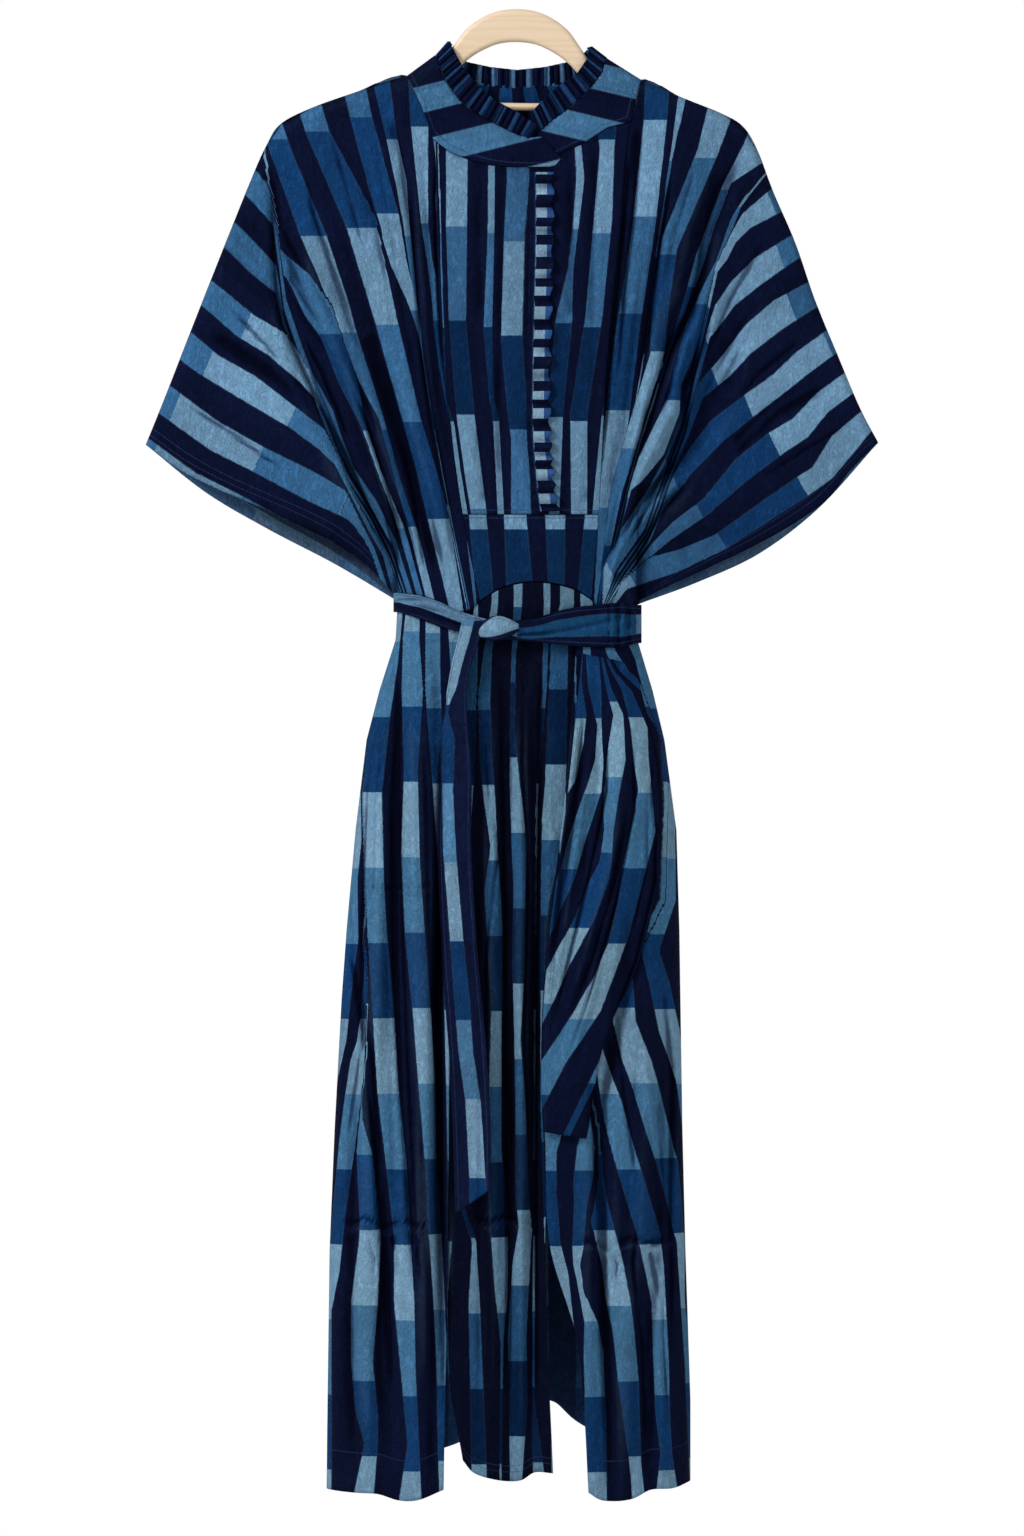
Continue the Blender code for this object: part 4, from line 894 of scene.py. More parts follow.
frillCloth = cloth("dark_frill", 0.0108, 0.0, order=("light", "mid", "dark"), half=0.24, stitches=(),
                   mid=(48, 88, 148), light=(142, 176, 202))
beltCloth = cloth("striped_belt", 0.19, 0.0, order=("mid", "dark", "mid"), stitches=(0.003,),
                  dark=(26, 74, 116), mid=(104, 146, 182))
tailCloth = cloth("striped_tail", 0.0745, 0.0, order=("dark", "mid", "light"), stitches=(0.0035,),
                  ground=(18, 27, 60), mid=(84, 134, 176), light=(128, 168, 198))
hangerWood = wood("pale_beech")
print("materials")

# Upper cloth
upperCreases = (
    (4, -5, (276, 250), (284, 292), (298, 340), (320, 398), (344, 450), (368, 508), (392, 556), (404, 590)),
    (4, -5, (346, 372), (356, 398), (368, 428), (382, 470), (396, 520), (408, 570)),
    (3.5, -4, (300, 330), (322, 372), (340, 416), (352, 450)),
    (3.5, -4, (398, 420), (408, 470), (418, 530), (428, 585)),
    (3.5, -4, (380, 500), (394, 545), (410, 592)),
    (3.5, -3, (436, 150), (437, 240), (440, 330), (446, 400)),
    (3.5, -3, (410, 150), (414, 250), (420, 340), (430, 420)),
    (4, -5, (716, 268), (706, 306), (696, 350), (690, 390), (680, 430), (664, 470), (644, 510), (622, 560)),
    (4, -5, (654, 380), (644, 420), (632, 470), (618, 530), (606, 580)),
    (3.5, -4, (684, 440), (664, 484), (640, 520), (618, 562)),
    (3.5, -4, (700, 300), (682, 342), (670, 390), (656, 430)),
    (3.5, -3, (612, 150), (608, 250), (606, 350), (602, 440)),
    (3.5, -3, (640, 130), (634, 220), (624, 300), (616, 400)),
    (3, -2.5, (300, 180), (330, 260), (352, 320)),
    (9, -10, (262, 130), (274, 200), (278, 262), (286, 322), (312, 382), (338, 440), (362, 490), (388, 548),
     (402, 592)),
    (7, -8, (343, 330), (362, 395), (374, 440), (392, 490), (412, 545), (426, 590)),
    (6, -6, (418, 320), (428, 390), (440, 460), (452, 530), (462, 590)),
    (10, 5, (290, 262), (318, 310), (343, 370), (368, 430), (396, 500), (416, 560)),
    (6, -5, (436, 130), (436, 220), (443, 320), (452, 420)),
    (8, -9, (738, 155), (722, 195), (707, 240), (701, 276), (690, 312), (668, 354), (655, 398), (641, 446),
     (626, 502), (608, 572)),
    (7, -8, (716, 276), (706, 332), (686, 388), (683, 424), (669, 466), (650, 492), (634, 520)),
    (6, -6, (674, 160), (660, 240), (650, 320), (638, 396)),
    (7, -8, (692, 478), (664, 506), (640, 546), (616, 590)),
    (10, 5, (696, 300), (682, 350), (672, 402), (652, 452), (634, 488)),
    (9, 5, (654, 490), (634, 530), (610, 570)),
    (6, -5, (630, 130), (622, 225), (612, 325), (604, 425), (598, 500)),
    (5, -1.8, (300, 150), (318, 230), (352, 330)),
    (5, -1.6, (330, 130), (352, 210), (378, 300)),
    (6, 2.0, (365, 120), (380, 210), (398, 320), (420, 430)),
    (5, -2.2, (398, 130), (412, 240), (424, 360)),
    (5, -1.8, (262, 200), (300, 262), (352, 350)),
    (5, 1.6, (244, 232), (292, 290), (345, 372)),
    (5, -1.8, (222, 300), (268, 348), (332, 420)),
    (5, 1.5, (200, 350), (262, 392), (330, 452)),
    (4, -1.6, (180, 400), (240, 440), (300, 482)),
    (5, -2.0, (385, 480), (402, 540), (420, 590)),
    (5, 2.0, (402, 470), (420, 535), (436, 592)),
    (5, -2.4, (420, 455), (436, 530), (450, 596)),
    (5, -1.8, (640, 150), (628, 250), (618, 360)),
    (5, 1.8, (662, 150), (648, 250), (636, 360), (624, 460)),
    (5, -1.6, (700, 150), (676, 230), (660, 300)),
    (5, -1.8, (770, 230), (730, 300), (700, 370)),
    (5, 1.6, (792, 270), (745, 330), (700, 410)),
    (5, -1.8, (812, 330), (760, 372), (706, 440)),
    (5, 1.5, (834, 372), (775, 408), (712, 470)),
    (4, -1.6, (856, 420), (800, 452), (740, 490)),
    (5, -2.2, (660, 470), (636, 530), (618, 592)),
    (5, 2.0, (646, 455), (624, 530), (606, 592)),
    (5, -2.0, (632, 450), (614, 520), (600, 590)),
)
# Light stripes of the two fronts: their two edges from the outline down to the waist, from the inner stripe out.
leftBands = (
    dict(inner=((428, 80), (428, 125), (428, 224), (432, 260), (440, 300), (441, 328), (447, 370), (456, 420),
                (462, 470), (468, 520), (476, 600)),
         outer=((408, 70), (411, 125), (421, 224), (427, 260), (432, 300), (434, 328), (440, 370), (450, 420),
                (458, 470), (465, 520), (474, 600))),
    dict(inner=((388, 70), (397, 138), (407, 181), (409, 224), (414, 270), (418, 320), (424, 360), (436, 440),
                (452, 520), (470, 610)),
         outer=((372, 78), (386, 138), (395, 181), (403, 224), (410, 270), (417, 320), (423, 360), (435, 440),
                (451, 520), (469, 610))),
    dict(inner=((364, 76), (372, 116), (399, 215), (407, 262), (416, 300), (420, 325), (424, 360), (434, 430),
                (450, 520), (468, 610)),
         outer=((341, 80), (351, 120), (376, 217), (391, 267), (407, 301), (415, 322), (422, 350), (433, 430),
                (449, 520), (467, 610))),
    dict(inner=((314, 80), (329, 131), (377, 219), (397, 319), (420, 417), (436, 470), (449, 517),
                (463, 606)),
         outer=((292, 90), (306, 133), (347, 229), (375, 321), (403, 421), (417, 470), (428, 520),
                (449, 606))),
    dict(inner=((276, 105), (291, 150), (326, 234), (347, 297), (355, 327), (372, 383), (384, 421),
                (396, 470), (420, 540), (436, 606)),
         outer=((252, 112), (269, 150), (302, 239), (326, 297), (338, 334), (360, 383), (380, 421),
                (393, 470), (412, 540), (428, 606))),
    dict(inner=((262, 120), (270.6, 200), (276, 246), (287, 256), (310, 275), (333, 307), (341, 334),
                (357, 379), (366, 428), (380, 470), (404, 526), (426, 606)),
         outer=((261.6, 120), (270, 200), (274, 250), (276, 264), (291, 286), (306, 317), (322, 338),
                (340, 385), (363, 428), (378, 471), (399, 530), (420, 606))),
    dict(inner=((240, 150), (256, 170), (270, 186), (275, 212), (286, 300), (312, 372), (333, 410),
                (343, 440), (354, 468), (376, 500), (396, 540), (417, 606)),
         outer=((230, 176), (247, 196), (264, 214), (274, 226), (284, 310), (308, 380), (325, 415),
                (338, 448), (352, 476), (372, 508), (392, 545), (412, 606))),
    dict(inner=((214, 210), (236, 224), (255, 243), (277, 266), (284, 320), (306, 382), (323, 420),
                (336, 452), (350, 480), (371, 512), (391, 550), (410, 606)),
         outer=((206, 236), (227, 249), (250, 272), (276, 293), (283, 326), (305, 386), (322, 424),
                (335, 455), (349, 482), (370, 514), (390, 552), (409, 606))),
    dict(inner=((192, 268), (213, 282), (253, 315), (287, 334), (310, 371), (316, 392), (330, 432),
                (348, 484), (369, 517), (389, 556), (407, 606)),
         outer=((186, 296), (204, 307), (237, 336), (268, 355), (302, 384), (314, 398), (328, 436),
                (347, 487), (368, 519), (388, 558), (406, 606))),
    dict(inner=((172, 322), (193, 334), (217, 355), (256, 377), (300, 411), (326, 431), (340, 458),
                (350, 488), (371, 526), (387, 553), (405, 606)),
         outer=((166, 350), (182, 361), (198, 373), (256, 408), (289, 427), (320, 450), (336, 466),
                (348, 491), (369, 532), (383, 556), (396, 606))),
    dict(inner=((152, 374), (173, 388), (217, 421), (268, 450), (310, 470), (346, 490), (362, 524),
                (374, 548), (394, 606)),
         outer=((140, 402), (159, 413), (210, 450), (252, 471), (306, 500), (350, 520), (363, 536),
                (372, 552), (390, 606))),
)
rightBands = (
    dict(inner=((646, 60), (644, 121), (633, 225), (617, 325), (604, 425), (598, 520), (594, 606)),
         outer=((671, 70), (667, 122), (655, 228), (640, 325), (628, 425), (615, 500), (603, 560),
                (596, 606))),
    dict(inner=((681, 76), (670, 160), (656, 250), (646, 340), (631, 428), (618, 500), (605, 562),
                (597, 606)),
         outer=((690, 78), (671, 160), (657, 250), (647, 340), (632, 428), (619, 500), (606, 562),
                (598, 606))),
    dict(inner=((712, 90), (698, 149), (661, 241), (652, 300), (650, 355), (638, 394), (625, 437), (610, 490),
                (602, 560), (598, 606)),
         outer=((738, 100), (717, 156), (677, 249), (668, 310), (663, 365), (653, 390), (640, 437),
                (622, 492), (607, 562), (599, 606))),
    dict(inner=((756, 112), (743, 146), (723, 185), (711, 216), (696, 255), (684, 300), (668, 350),
                (652, 402), (638, 446), (624, 500), (608, 564), (600, 606)),
         outer=((776, 140), (764, 162), (731, 183), (723, 205), (713, 232), (700, 274), (686, 306),
                (669, 352), (653, 404), (639, 448), (625, 502), (609, 566), (600.5, 606))),
    dict(inner=((786, 150), (752, 190), (740, 204), (730, 222), (716, 262), (702, 290), (688, 321),
                (673, 371), (667, 400), (657, 421), (638, 460), (630, 486), (612, 560), (601, 606)),
         outer=((786.4, 150.5), (752.4, 190.5), (741, 206), (734, 226), (719, 268), (708, 303), (700, 340),
                (680, 386), (679, 413), (663, 456), (641, 482), (631, 490), (613, 561), (601.5, 606))),
    dict(inner=((792, 178), (771, 189), (742, 214), (729, 236), (715, 266), (704, 320), (690, 380),
                (680, 420), (664, 460), (644, 495), (623, 526), (603, 568), (602, 606)),
         outer=((802, 203), (781, 212), (750, 228), (735, 243), (727, 259), (717, 272), (706, 324),
                (692, 384), (682, 424), (668, 466), (657, 495), (644, 530), (616, 570), (603, 606))),
    dict(inner=((812, 226), (789, 237), (754, 259), (731, 282), (715, 305), (707, 330), (693, 388),
                (683, 428), (669, 468), (658, 497), (645, 532), (617, 572), (604, 606)),
         outer=((820, 250), (797, 259), (762, 284), (735, 305), (723, 321), (709, 338), (695, 392),
                (684, 432), (670, 470), (659, 499), (646, 534), (618, 574), (604.5, 606))),
    dict(inner=((830, 272), (807, 283), (773, 301), (746, 325), (723, 355), (696, 385), (686, 434),
                (671, 472), (660, 501), (647, 536), (619, 576), (605, 606)),
         outer=((840, 298), (817, 307), (781, 330), (750, 354), (731, 375), (702, 398), (688, 436),
                (672, 474), (661, 503), (648, 538), (620, 578), (605.5, 606))),
    dict(inner=((850, 321), (826, 331), (797, 352), (773, 375), (744, 396), (711, 421), (690, 448),
                (673, 476), (662, 505), (649, 540), (621, 580), (606, 606)),
         outer=((858, 345), (835, 354), (812, 371), (785, 392), (758, 413), (723, 441), (690, 475),
                (664, 509), (650, 542), (622, 582), (607, 606))),
    dict(inner=((866, 364), (843, 374), (816, 394), (793, 419), (769, 433), (735, 460), (704, 499),
                (673, 522), (651, 545), (623, 584), (608, 606)),
         outer=((875, 385), (852, 394), (827, 413), (808, 437), (785, 452), (746, 481), (708, 514),
                (669, 541), (652, 556), (624, 586), (609, 606))),
    dict(inner=((882, 402), (859, 413), (831, 437), (812, 468), (798, 477), (766, 499), (715, 535),
                (681, 549), (650, 557), (622, 580), (611, 606)),
         outer=((893, 420), (870, 432), (851, 456), (831, 479), (806, 497), (773, 518), (725, 549),
                (677, 572), (626, 589), (613, 606))),
)
# How the dye blocks lie on each stripe: blocks shifted, then 1 to count them down the cloth, -1 from the arm's edge,
# -2 from there with middle blocks for dark ones, or 0 for one long middle block.
leftLay = (
    (0.05, 1), (-0.08, 1), (-0.88, 1), (-1.0, 1), (-1.1, 1), (-0.11, 1), (0, 0), (0, 0), (-1.5, -2),
    (-1.72, -2),
    (-1.88, -2),
)
rightLay = (
    (0.12, 1), (0.7, 1), (0.7, 1), (0.4, 1), (0.2, 1), (-1.95, -1), (-1.8, -1), (-1.76, -1), (-1.96, -1),
    (-2.04, -1),
    (-2.11, -1),
)


backCreases = tuple((h, d, *((2 * axisAcross - x, y) for x, y in line)) for h, d, *line in upperCreases)


def netPiece(name, table, side, folds, creases, columns, rows, seed, bands=None, lay=None,
             arm=None):
    numbers = [row[0] for row in table]
    us = spread(columns, numbers[0], numbers[-1])
    vs = np.concatenate([np.linspace(0, 1, 10)[:-1] ** 2 * 0.022, spread(rows, 0.022, 1)])  # dense at the seam
    across, down = net(table, us, vs)
    fine = creased(creases, across, down) + 0.55 * rumple(across, down, seed, 34, 0.1)
    depth = upperDepth(across, down, folds, fine)
    fromRim = leastGap((leftShoulder, rightShoulder, leftArm, rightArm), across[:, 0], down[:, 0])
    depth[:, 0] = np.where(fromRim < 3, rimDepth, depth[:, 0])
    if bands is None:
        shifted = np.where(np.abs(us) > 5, 0.03 * np.sin(np.floor(us) * 2.4), 0)
        run = runLength(across, down) * unit + shifted[:, None]
        number = np.broadcast_to(us[:, None] * 1.02, across.shape)
    else:
        number = bandsAt(bands, across, down)
        run = layOut(number, lay, across, down, arm)
    cuff = np.broadcast_to(((np.abs(numbers[-1]) - np.abs(us)) * 0.045)[:, None], across.shape)
    spots = pulledBack(place(across, down, side * depth), 0.1)
    piece = sheetPiece(name, spots, number, run, cuff, side, (bodyCloth, sleeveReverseLit))
    declare(name, piece)


def layOut(number, lay, across, down, arm):
    # length down each stripe, in metres
    stripe = np.clip(np.floor(number), 0, len(lay) - 1).astype(int)
    shift, way = np.array(lay)[stripe].transpose(2, 0, 1)
    firstRow, armSpan = 34, 97 * 4
    fromArm = (armSpan - nearest(arm, across, down)[0]) * unit / frontBlock + shift
    past = np.floor(fromArm / 3) * 3 + 1  # where the light block ends
    fromArm = np.where((way < -1) & (fromArm < past), past + 1 + np.minimum(past - fromArm, 0.98), fromArm)
    run = np.where(way > 0, (down - firstRow) * unit + shift * frontBlock, fromArm * frontBlock)
    return np.where(way == 0, 2.5 * frontBlock, run)


netPiece("front_left", leftFront, -1, upperFolds, upperCreases, 170, 170, 11,
         leftBands, leftLay, leftArm)
netPiece("front_right", rightFront, -1, upperFolds, upperCreases, 170, 170, 12,
         rightBands, rightLay, rightArm)
netPiece("back_body", back, 1, backFolds, backCreases, 190, 110, 13)
print("sides")


def frontPatch(name, left, right, top, bottom, columns, rows, seed, stripes, startDown, material,
               rumpled=0.35, turned=4):
    # one stripe, numbered "turned", has its blocks in the other order
    us, vs = spread(columns), spread(rows)
    across, down = patch(left, right, top, bottom, us, vs)
    depth = upperDepth(across, down, upperFolds, rumpled * rumple(across, down, seed, 15, 0.0, 5.0))
    number = stripeAt(stripes, across, down)
    turnedEnd = 334
    run = np.where(np.floor(number) == turned, turnedEnd - down, down - startDown) * unit
    hem = np.minimum(np.abs(down - bodiceBottom) * unit, 0.2)
    spots = pulledBack(place(across, down, -depth), 0.3)
    piece = sheetPiece(name, spots, number, run, hem, -1, (material, bodyCloth))
    declare(name, piece)


leftSeam, rightSeam = [row[1:] for row in (leftFront[0], rightFront[0])]
leftEnd, rightEnd = 5.9 / 7, 5.87 / 7
lowLeft, lowRight = [smooth(seam)(np.array([end]))[0] for seam,
                     end in ((leftSeam, leftEnd), (rightSeam, rightEnd))]
frontPatch("bodice_left", smooth(leftSeam, 1 / 7, leftEnd), smooth(placket), lined(bodiceTopLeft),
           runOf(lowLeft, placket[-1]), 70, 110, 21, bodiceStripes, 138, bodiceCloth)
frontPatch("bodice_right", smooth(placket), smooth(rightSeam, 0.6 / 7, rightEnd), lined(bodiceTopRight),
           runOf(placket[-1], lowRight), 70, 110, 22, bodiceStripes, 138, bodiceCloth)
frontPatch("midriff_band", smooth(leftSeam, leftEnd, 1), smooth(rightSeam, rightEnd, 1),
           runOf(lowLeft, lowRight),
           smooth(bandLow), 90, 40, 23, bandStripes, 438, bandCloth,
           0.2, None)
print("bodice")


# Yokes, frill and collar
def yokePiece(name, pairs, sag, columns, rows, seed, turn, start):
    us, vs = spread(columns), spread(rows)
    us = np.sort(np.concatenate([us, [0.004, 0.012, 0.024]]))
    inner, outer = straight([p[0] for p in pairs], us), straight([p[1] for p in pairs], us)
    grid = mix(inner[:, None], outer[:, None], vs[None, :, None])
    across, down = grid[..., 0], grid[..., 1]
    depth = upperDepth(across, down, (), 0.25 * rumple(across, down, seed, 12)) + sag(us)[:, None]
    depth[0] = 0.5
    number = (down + turn * across - start) / 54 + 0.25
    run = np.floor(number) * 0.06 + 0.03
    hem = np.broadcast_to((1 - vs)[None, :] * 0.03, across.shape)
    piece = sheetPiece(name, pulledBack(place(across, down, -depth), 0.4), number, run, hem, -1,
                       (yokeCloth, sleeveReverseLit))
    declare(name, piece)


yokePiece("yoke_front_left", yokeLeft, lambda u: 0 * u, 70, 14, 31, 0.25, 192)
yokePiece("yoke_front_right", yokeRight, lambda u: -2.6 * ease((u - 0.6) / 0.35), 60, 14, 32, -0.24, -80)

us = np.sort(np.concatenate([spread(70, -1.5, 1.5), [-1.49, -1.48, -1.46, 1.46, 1.48, 1.49]]))
vs = spread(16)
base = np.stack([np.interp(us, [row[0] for row in yokeBack], [row[k] for row in yokeBack]) for k in (1, 2)],
                -1)
topAcross, topDown = net(back, us, np.array([0.0, 0.01]))
low = np.stack([topAcross[:, 0], topDown[:, 0]], -1)
grid = mix(base[:, None], low[:, None], vs[None, :, None])
across, down = grid[..., 0], grid[..., 1]
depth = upperDepth(across, down, (), 0.2 * rumple(across, down, 33, 14))
depth[[0, -1]] = 0.5
piece = sheetPiece("yoke_back", pulledBack(place(across, down, depth), 0.2), us[:, None] * 2.4 + 0 * across,
                   (down - 84) * unit,
                   np.broadcast_to((1 - vs)[None] * 0.05, across.shape), 1, (yokeCloth, bodyCloth))
declare("yoke_back", piece)

frill = {"waves": 17, "half": 12, "wave": 1.7, "ahead": 3.7}
us, vs = spread(14), spread(240)
middle = spline(placket, mix(0.012, 0.99, vs))
across = middle[None, :, 0] + mix(-frill["half"], frill["half"], us)[:,
                                                                     None] + 2 * (ease((vs - 0.9) / 0.1)[None] * us[:, None])
down = np.broadcast_to(middle[None, :, 1], across.shape) + 0.8 * np.sin(vs * 61)[None] * us[:, None]
turns = vs * 2 * frill["waves"] * math.pi
wave = frill["wave"] * (np.cos(turns) + 0.3 * np.cos(turns * 0.5 + 1))[None] * (0.45 + 0.55 * us)[:, None]
across = across + 1.6 * us[:, None] * np.cos(turns + 0.8)[None]
depth = upperDepth(across, down, upperFolds) + frill["ahead"] + wave
off = across - middle[None, :, 0] + 5.5
piece = sheetPiece("placket_frill", pulledBack(place(across, down, -depth), 0.3),
                   np.where(off < -0.5, 0, (down + 2 * np.sin(down * 0.11)) / 20.4 + 0.1), off * unit,
                   np.broadcast_to(us[:, None] * 0.02, across.shape), -1, (frillCloth,), 0.7)
declare("placket_frill", piece)

pleats = {"count": 72, "wave": 1.5, "wall": 0.9}
count = 72 * 12
us, vs = np.linspace(0, 1, count + 1), spread(12)
lowEdge, topEdge = straight([p[0] for p in collar], us), straight([p[1] for p in collar], us)
lowEdge[:, 1] += 2.0 * ease((np.interp(us * 19, np.arange(20), [p[2] for p in collar]) - 0.2) / 0.6)
at = us * (len(collar) - 1)
sideAt = np.interp(at, np.arange(len(collar)), [p[2] for p in collar])
sideAt = np.sign(sideAt) * np.sin(np.abs(sideAt) * math.pi / 2)
grid = mix(lowEdge[:, None], topEdge[:, None], vs[None, :, None])
stand = np.where(np.abs(sideAt) > 0.99, lie(lowEdge[:, 0], lowEdge[:, 1]), shoulderRoll)
under = np.where(us > 0.9, 1 - ease((1 - us) / 0.06), 0) * -2.6
y = sideAt * (stand + under)
turn = np.cos(us * pleats["count"] * 2 * math.pi)
fold = np.sign(turn) * np.abs(turn) ** 0.7 * pleats["wave"]
outward = np.where(np.abs(sideAt)[:, None] < 0.5, np.stack([np.sign(lowEdge[:, 0] - topEdge[:, 0]), 0 * us,
                                                            0 * us], -1), np.array([0.0, 1.0, 0.0]))
spots = place(grid[..., 0], grid[..., 1], y[:, None]) + (outward * fold[:, None] * mm)[:,
                                                                                       None] * (0.75 + 0.25 * vs)[None, :, None]
spots = pulledBack(spots, 0.2)
piece = sheetPiece("collar", spots, (us * 30)[:, None] + 0 * grid[..., 0],
                   np.where(sideAt > 0.4, 0.1, 0.4)[:, None] + vs[None] * 0.02,
                   np.broadcast_to((1 - vs)[None] * 0.02, grid.shape[:2]), -1, (collarCloth,), pleats["wall"])
declare("collar", piece)
print("collar and frill")

# Skirt
skirtCreases = (
    (4, -4.5, (452, 660), (448, 780), (443, 900), (440, 1040), (441, 1200), (444, 1360), (444, 1480)),
    (3.5, -3.5, (402, 640), (400, 760), (402, 900), (408, 1060), (416, 1220), (424, 1400)),
    (3.5, -3, (386, 650), (368, 790), (362, 930), (364, 1050), (376, 1160), (382, 1280), (378, 1420)),
    (3.5, -3.5, (500, 640), (502, 780), (506, 940), (504, 1100), (508, 1260), (502, 1440)),
    (4, -4.5, (541, 640), (540, 760), (537, 900), (536, 1080), (536, 1240), (538, 1440)),
    (3.5, -3.5, (524, 640), (522, 760), (527, 880), (524, 1040), (530, 1200)),
    (3.5, -3, (486, 760), (498, 850), (486, 960), (486, 1100)),
    (3.5, -3.5, (586, 690), (576, 780), (560, 870), (550, 980)),
    (3.5, -3, (606, 690), (606, 790), (588, 880), (566, 970), (548, 1040)),
    (3.5, -3, (632, 730), (634, 810), (616, 900), (590, 990), (560, 1080)),
    (3.5, -3, (656, 800), (654, 880), (636, 960), (606, 1030)),
    (3.5, -3, (594, 1100), (604, 1180), (606, 1240), (600, 1330), (606, 1440)),
    (3.5, -3, (640, 1200), (632, 1260), (640, 1340), (644, 1450)),
    (2.5, -1.6, (654, 742), (650, 790), (654, 826), (664, 838)),
    (9, -8, (450, 650), (446, 760), (441, 880), (438, 1000), (440, 1150), (444, 1300), (443, 1480)),
    (6, -5, (400, 690), (394, 800), (396, 960), (402, 1100), (412, 1240), (418, 1400)),
    (7, -6, (352, 800), (352, 960), (372, 1060), (378, 1180), (388, 1300), (396, 1440)),
    (8, -7, (590, 700), (576, 800), (560, 900), (548, 1000)),
    (7, -6, (628, 800), (612, 880), (590, 960), (560, 1050)),
    (7, -6, (592, 1050), (592, 1120), (600, 1200), (606, 1320), (608, 1480)),
    (6, -5, (660, 960), (672, 1080), (670, 1240), (672, 1400)),
    (4, -1.8, (398, 660), (396, 760), (398, 880)),
    (4, -2.0, (385, 700), (376, 820), (372, 960)),
    (4, 1.8, (412, 700), (414, 820), (416, 960)),
    (4, -2.0, (425, 720), (428, 860), (430, 1000)),
    (3, -1.6, (370, 980), (360, 1060), (346, 1150)),
    (4, -2.4, (368, 960), (374, 1060), (384, 1180), (392, 1300)),
    (4, 2.0, (380, 1200), (378, 1280), (370, 1360)),
    (4, -2.0, (396, 1210), (392, 1260), (388, 1320)),
    (4, -2.0, (420, 1080), (424, 1200), (430, 1340)),
    (3, -1.4, (356, 886), (400, 888), (446, 884)),
    (3, 1.4, (356, 890), (400, 892), (446, 888)),
    (3.5, -3.2, (334, 1216), (352, 1222), (366, 1216), (384, 1226), (404, 1219), (424, 1224), (448, 1214)),
    (3.5, 3.0, (334, 1223), (352, 1229), (366, 1223), (384, 1233), (404, 1226), (424, 1231), (448, 1221)),
    (4, -2.4, (366, 1226), (372, 1250), (384, 1276)),
    (4, -2.4, (392, 1228), (398, 1252), (392, 1286)),
    (4, -2.4, (424, 1226), (418, 1250), (424, 1288)),
    (4, -2.2, (608, 1240), (616, 1262), (612, 1296)),
    (4, -2.2, (646, 1240), (652, 1266), (660, 1300)),
    (4, -2.2, (484, 700), (490, 850), (484, 1000)),
    (4, 2.0, (496, 840), (500, 960), (498, 1120)),
    (4, -2.0, (524, 760), (526, 900), (522, 1100)),
    (4, -2.0, (486, 1200), (490, 1300), (488, 1420)),
    (4, 2.0, (516, 1220), (514, 1330), (512, 1450)),
    (3.5, -3.0, (470, 1214), (488, 1219), (508, 1213), (532, 1224)),
    (3.5, 2.8, (470, 1221), (488, 1226), (508, 1220), (532, 1231)),
    (4, -1.8, (610, 700), (606, 790), (590, 880)),
    (4, 1.8, (622, 800), (606, 900), (576, 1000)),
    (4, -1.8, (648, 780), (646, 870), (628, 950)),
    (4, -2.0, (616, 1010), (624, 1100), (640, 1200)),
    (4, 1.8, (640, 1030), (652, 1120), (664, 1220)),
    (4, -2.0, (596, 1210), (606, 1300), (612, 1420)),
    (4, 2.0, (634, 1260), (640, 1350), (640, 1460)),
    (4, -2.2, (666, 1240), (662, 1330), (668, 1440)),
    (3.5, -3.0, (566, 1246), (588, 1238), (608, 1246), (630, 1236), (654, 1242), (684, 1230)),
    (3.5, 2.8, (566, 1253), (588, 1245), (608, 1253), (630, 1243), (654, 1249), (684, 1237)),
)


def roundEnd(count, side):
    t = spread(count)
    return np.sin(t * math.pi / 2) if side > 0 else 1 - np.cos(t * math.pi / 2)


def skirtPatch(name, left, right, top, bottom, us, rows, side, ahead, folds, creases, seed, stripes, offset,
               materials, hemEdge=True):
    vs = spread(rows)
    across, down = patch(left, right, top, bottom, us, vs)
    fine = creased(creases, across, down) + 0.6 * rumple(across, down, seed, 22, 0.0, 7.0)
    depth = skirtDepth(across, down, folds, fine) + ahead(down)
    low, high, _ = skirtRows(down)
    for column, line in ((0, low), (-1, high)):
        if np.abs(across[column] - line[column]).mean() < 3:
            across[column], depth[column] = line[column], 0.05
    number = stripeAt(stripes, across, down)
    run = (down - offset) * unit
    hem = (down[:, -1:] - down) * unit if hemEdge else np.minimum(np.broadcast_to(us[:, None], across.shape),
                                                                  1) * 0.2
    spots = pulledBack(place(across, down, side * depth), 0.1)
    piece = sheetPiece(name, spots, number, run, hem, side, materials)
    declare(name, piece)
    return piece


def rim(side, last):
    def line(t):
        down = mix(604, last, np.asarray(t, float))
        return np.stack([skirtRows(down)[side], down], -1)
    return line


level = lambda down: 0.0 * down
skirtPatch("skirt_front_left", rim(0, 1488), smooth(leftPanelEdge), smooth(leftPanelTop),
           smooth(leftPanelHem), roundEnd(90, -1),
           220, -1, level, skirtFolds, skirtCreases, 41, leftStripes, 1012 - 75 * 13,
           (skirtCloth, skirtReverseShaded))
skirtPatch("skirt_front_centre", smooth(centreLeft), smooth(centreRight), smooth(centreTop),
           smooth(centreHem), spread(90),
           220, -1, lambda down: -7 * ease((down - 600) / 45), skirtFolds, skirtCreases, 42, centreStripes,
           1012 - 75 * 13, (centreShadedCloth, skirtReverseShaded))
skirtPatch("skirt_front_right", smooth(rightPanelEdge), rim(1, 1480), smooth(rightPanelTop),
           smooth(rightPanelHem), roundEnd(90, 1),
           220, -1, level, skirtFolds, skirtCreases, 43, rightStripes, 1012 - 75 * 13,
           (skirtCloth, skirtReverseShaded))
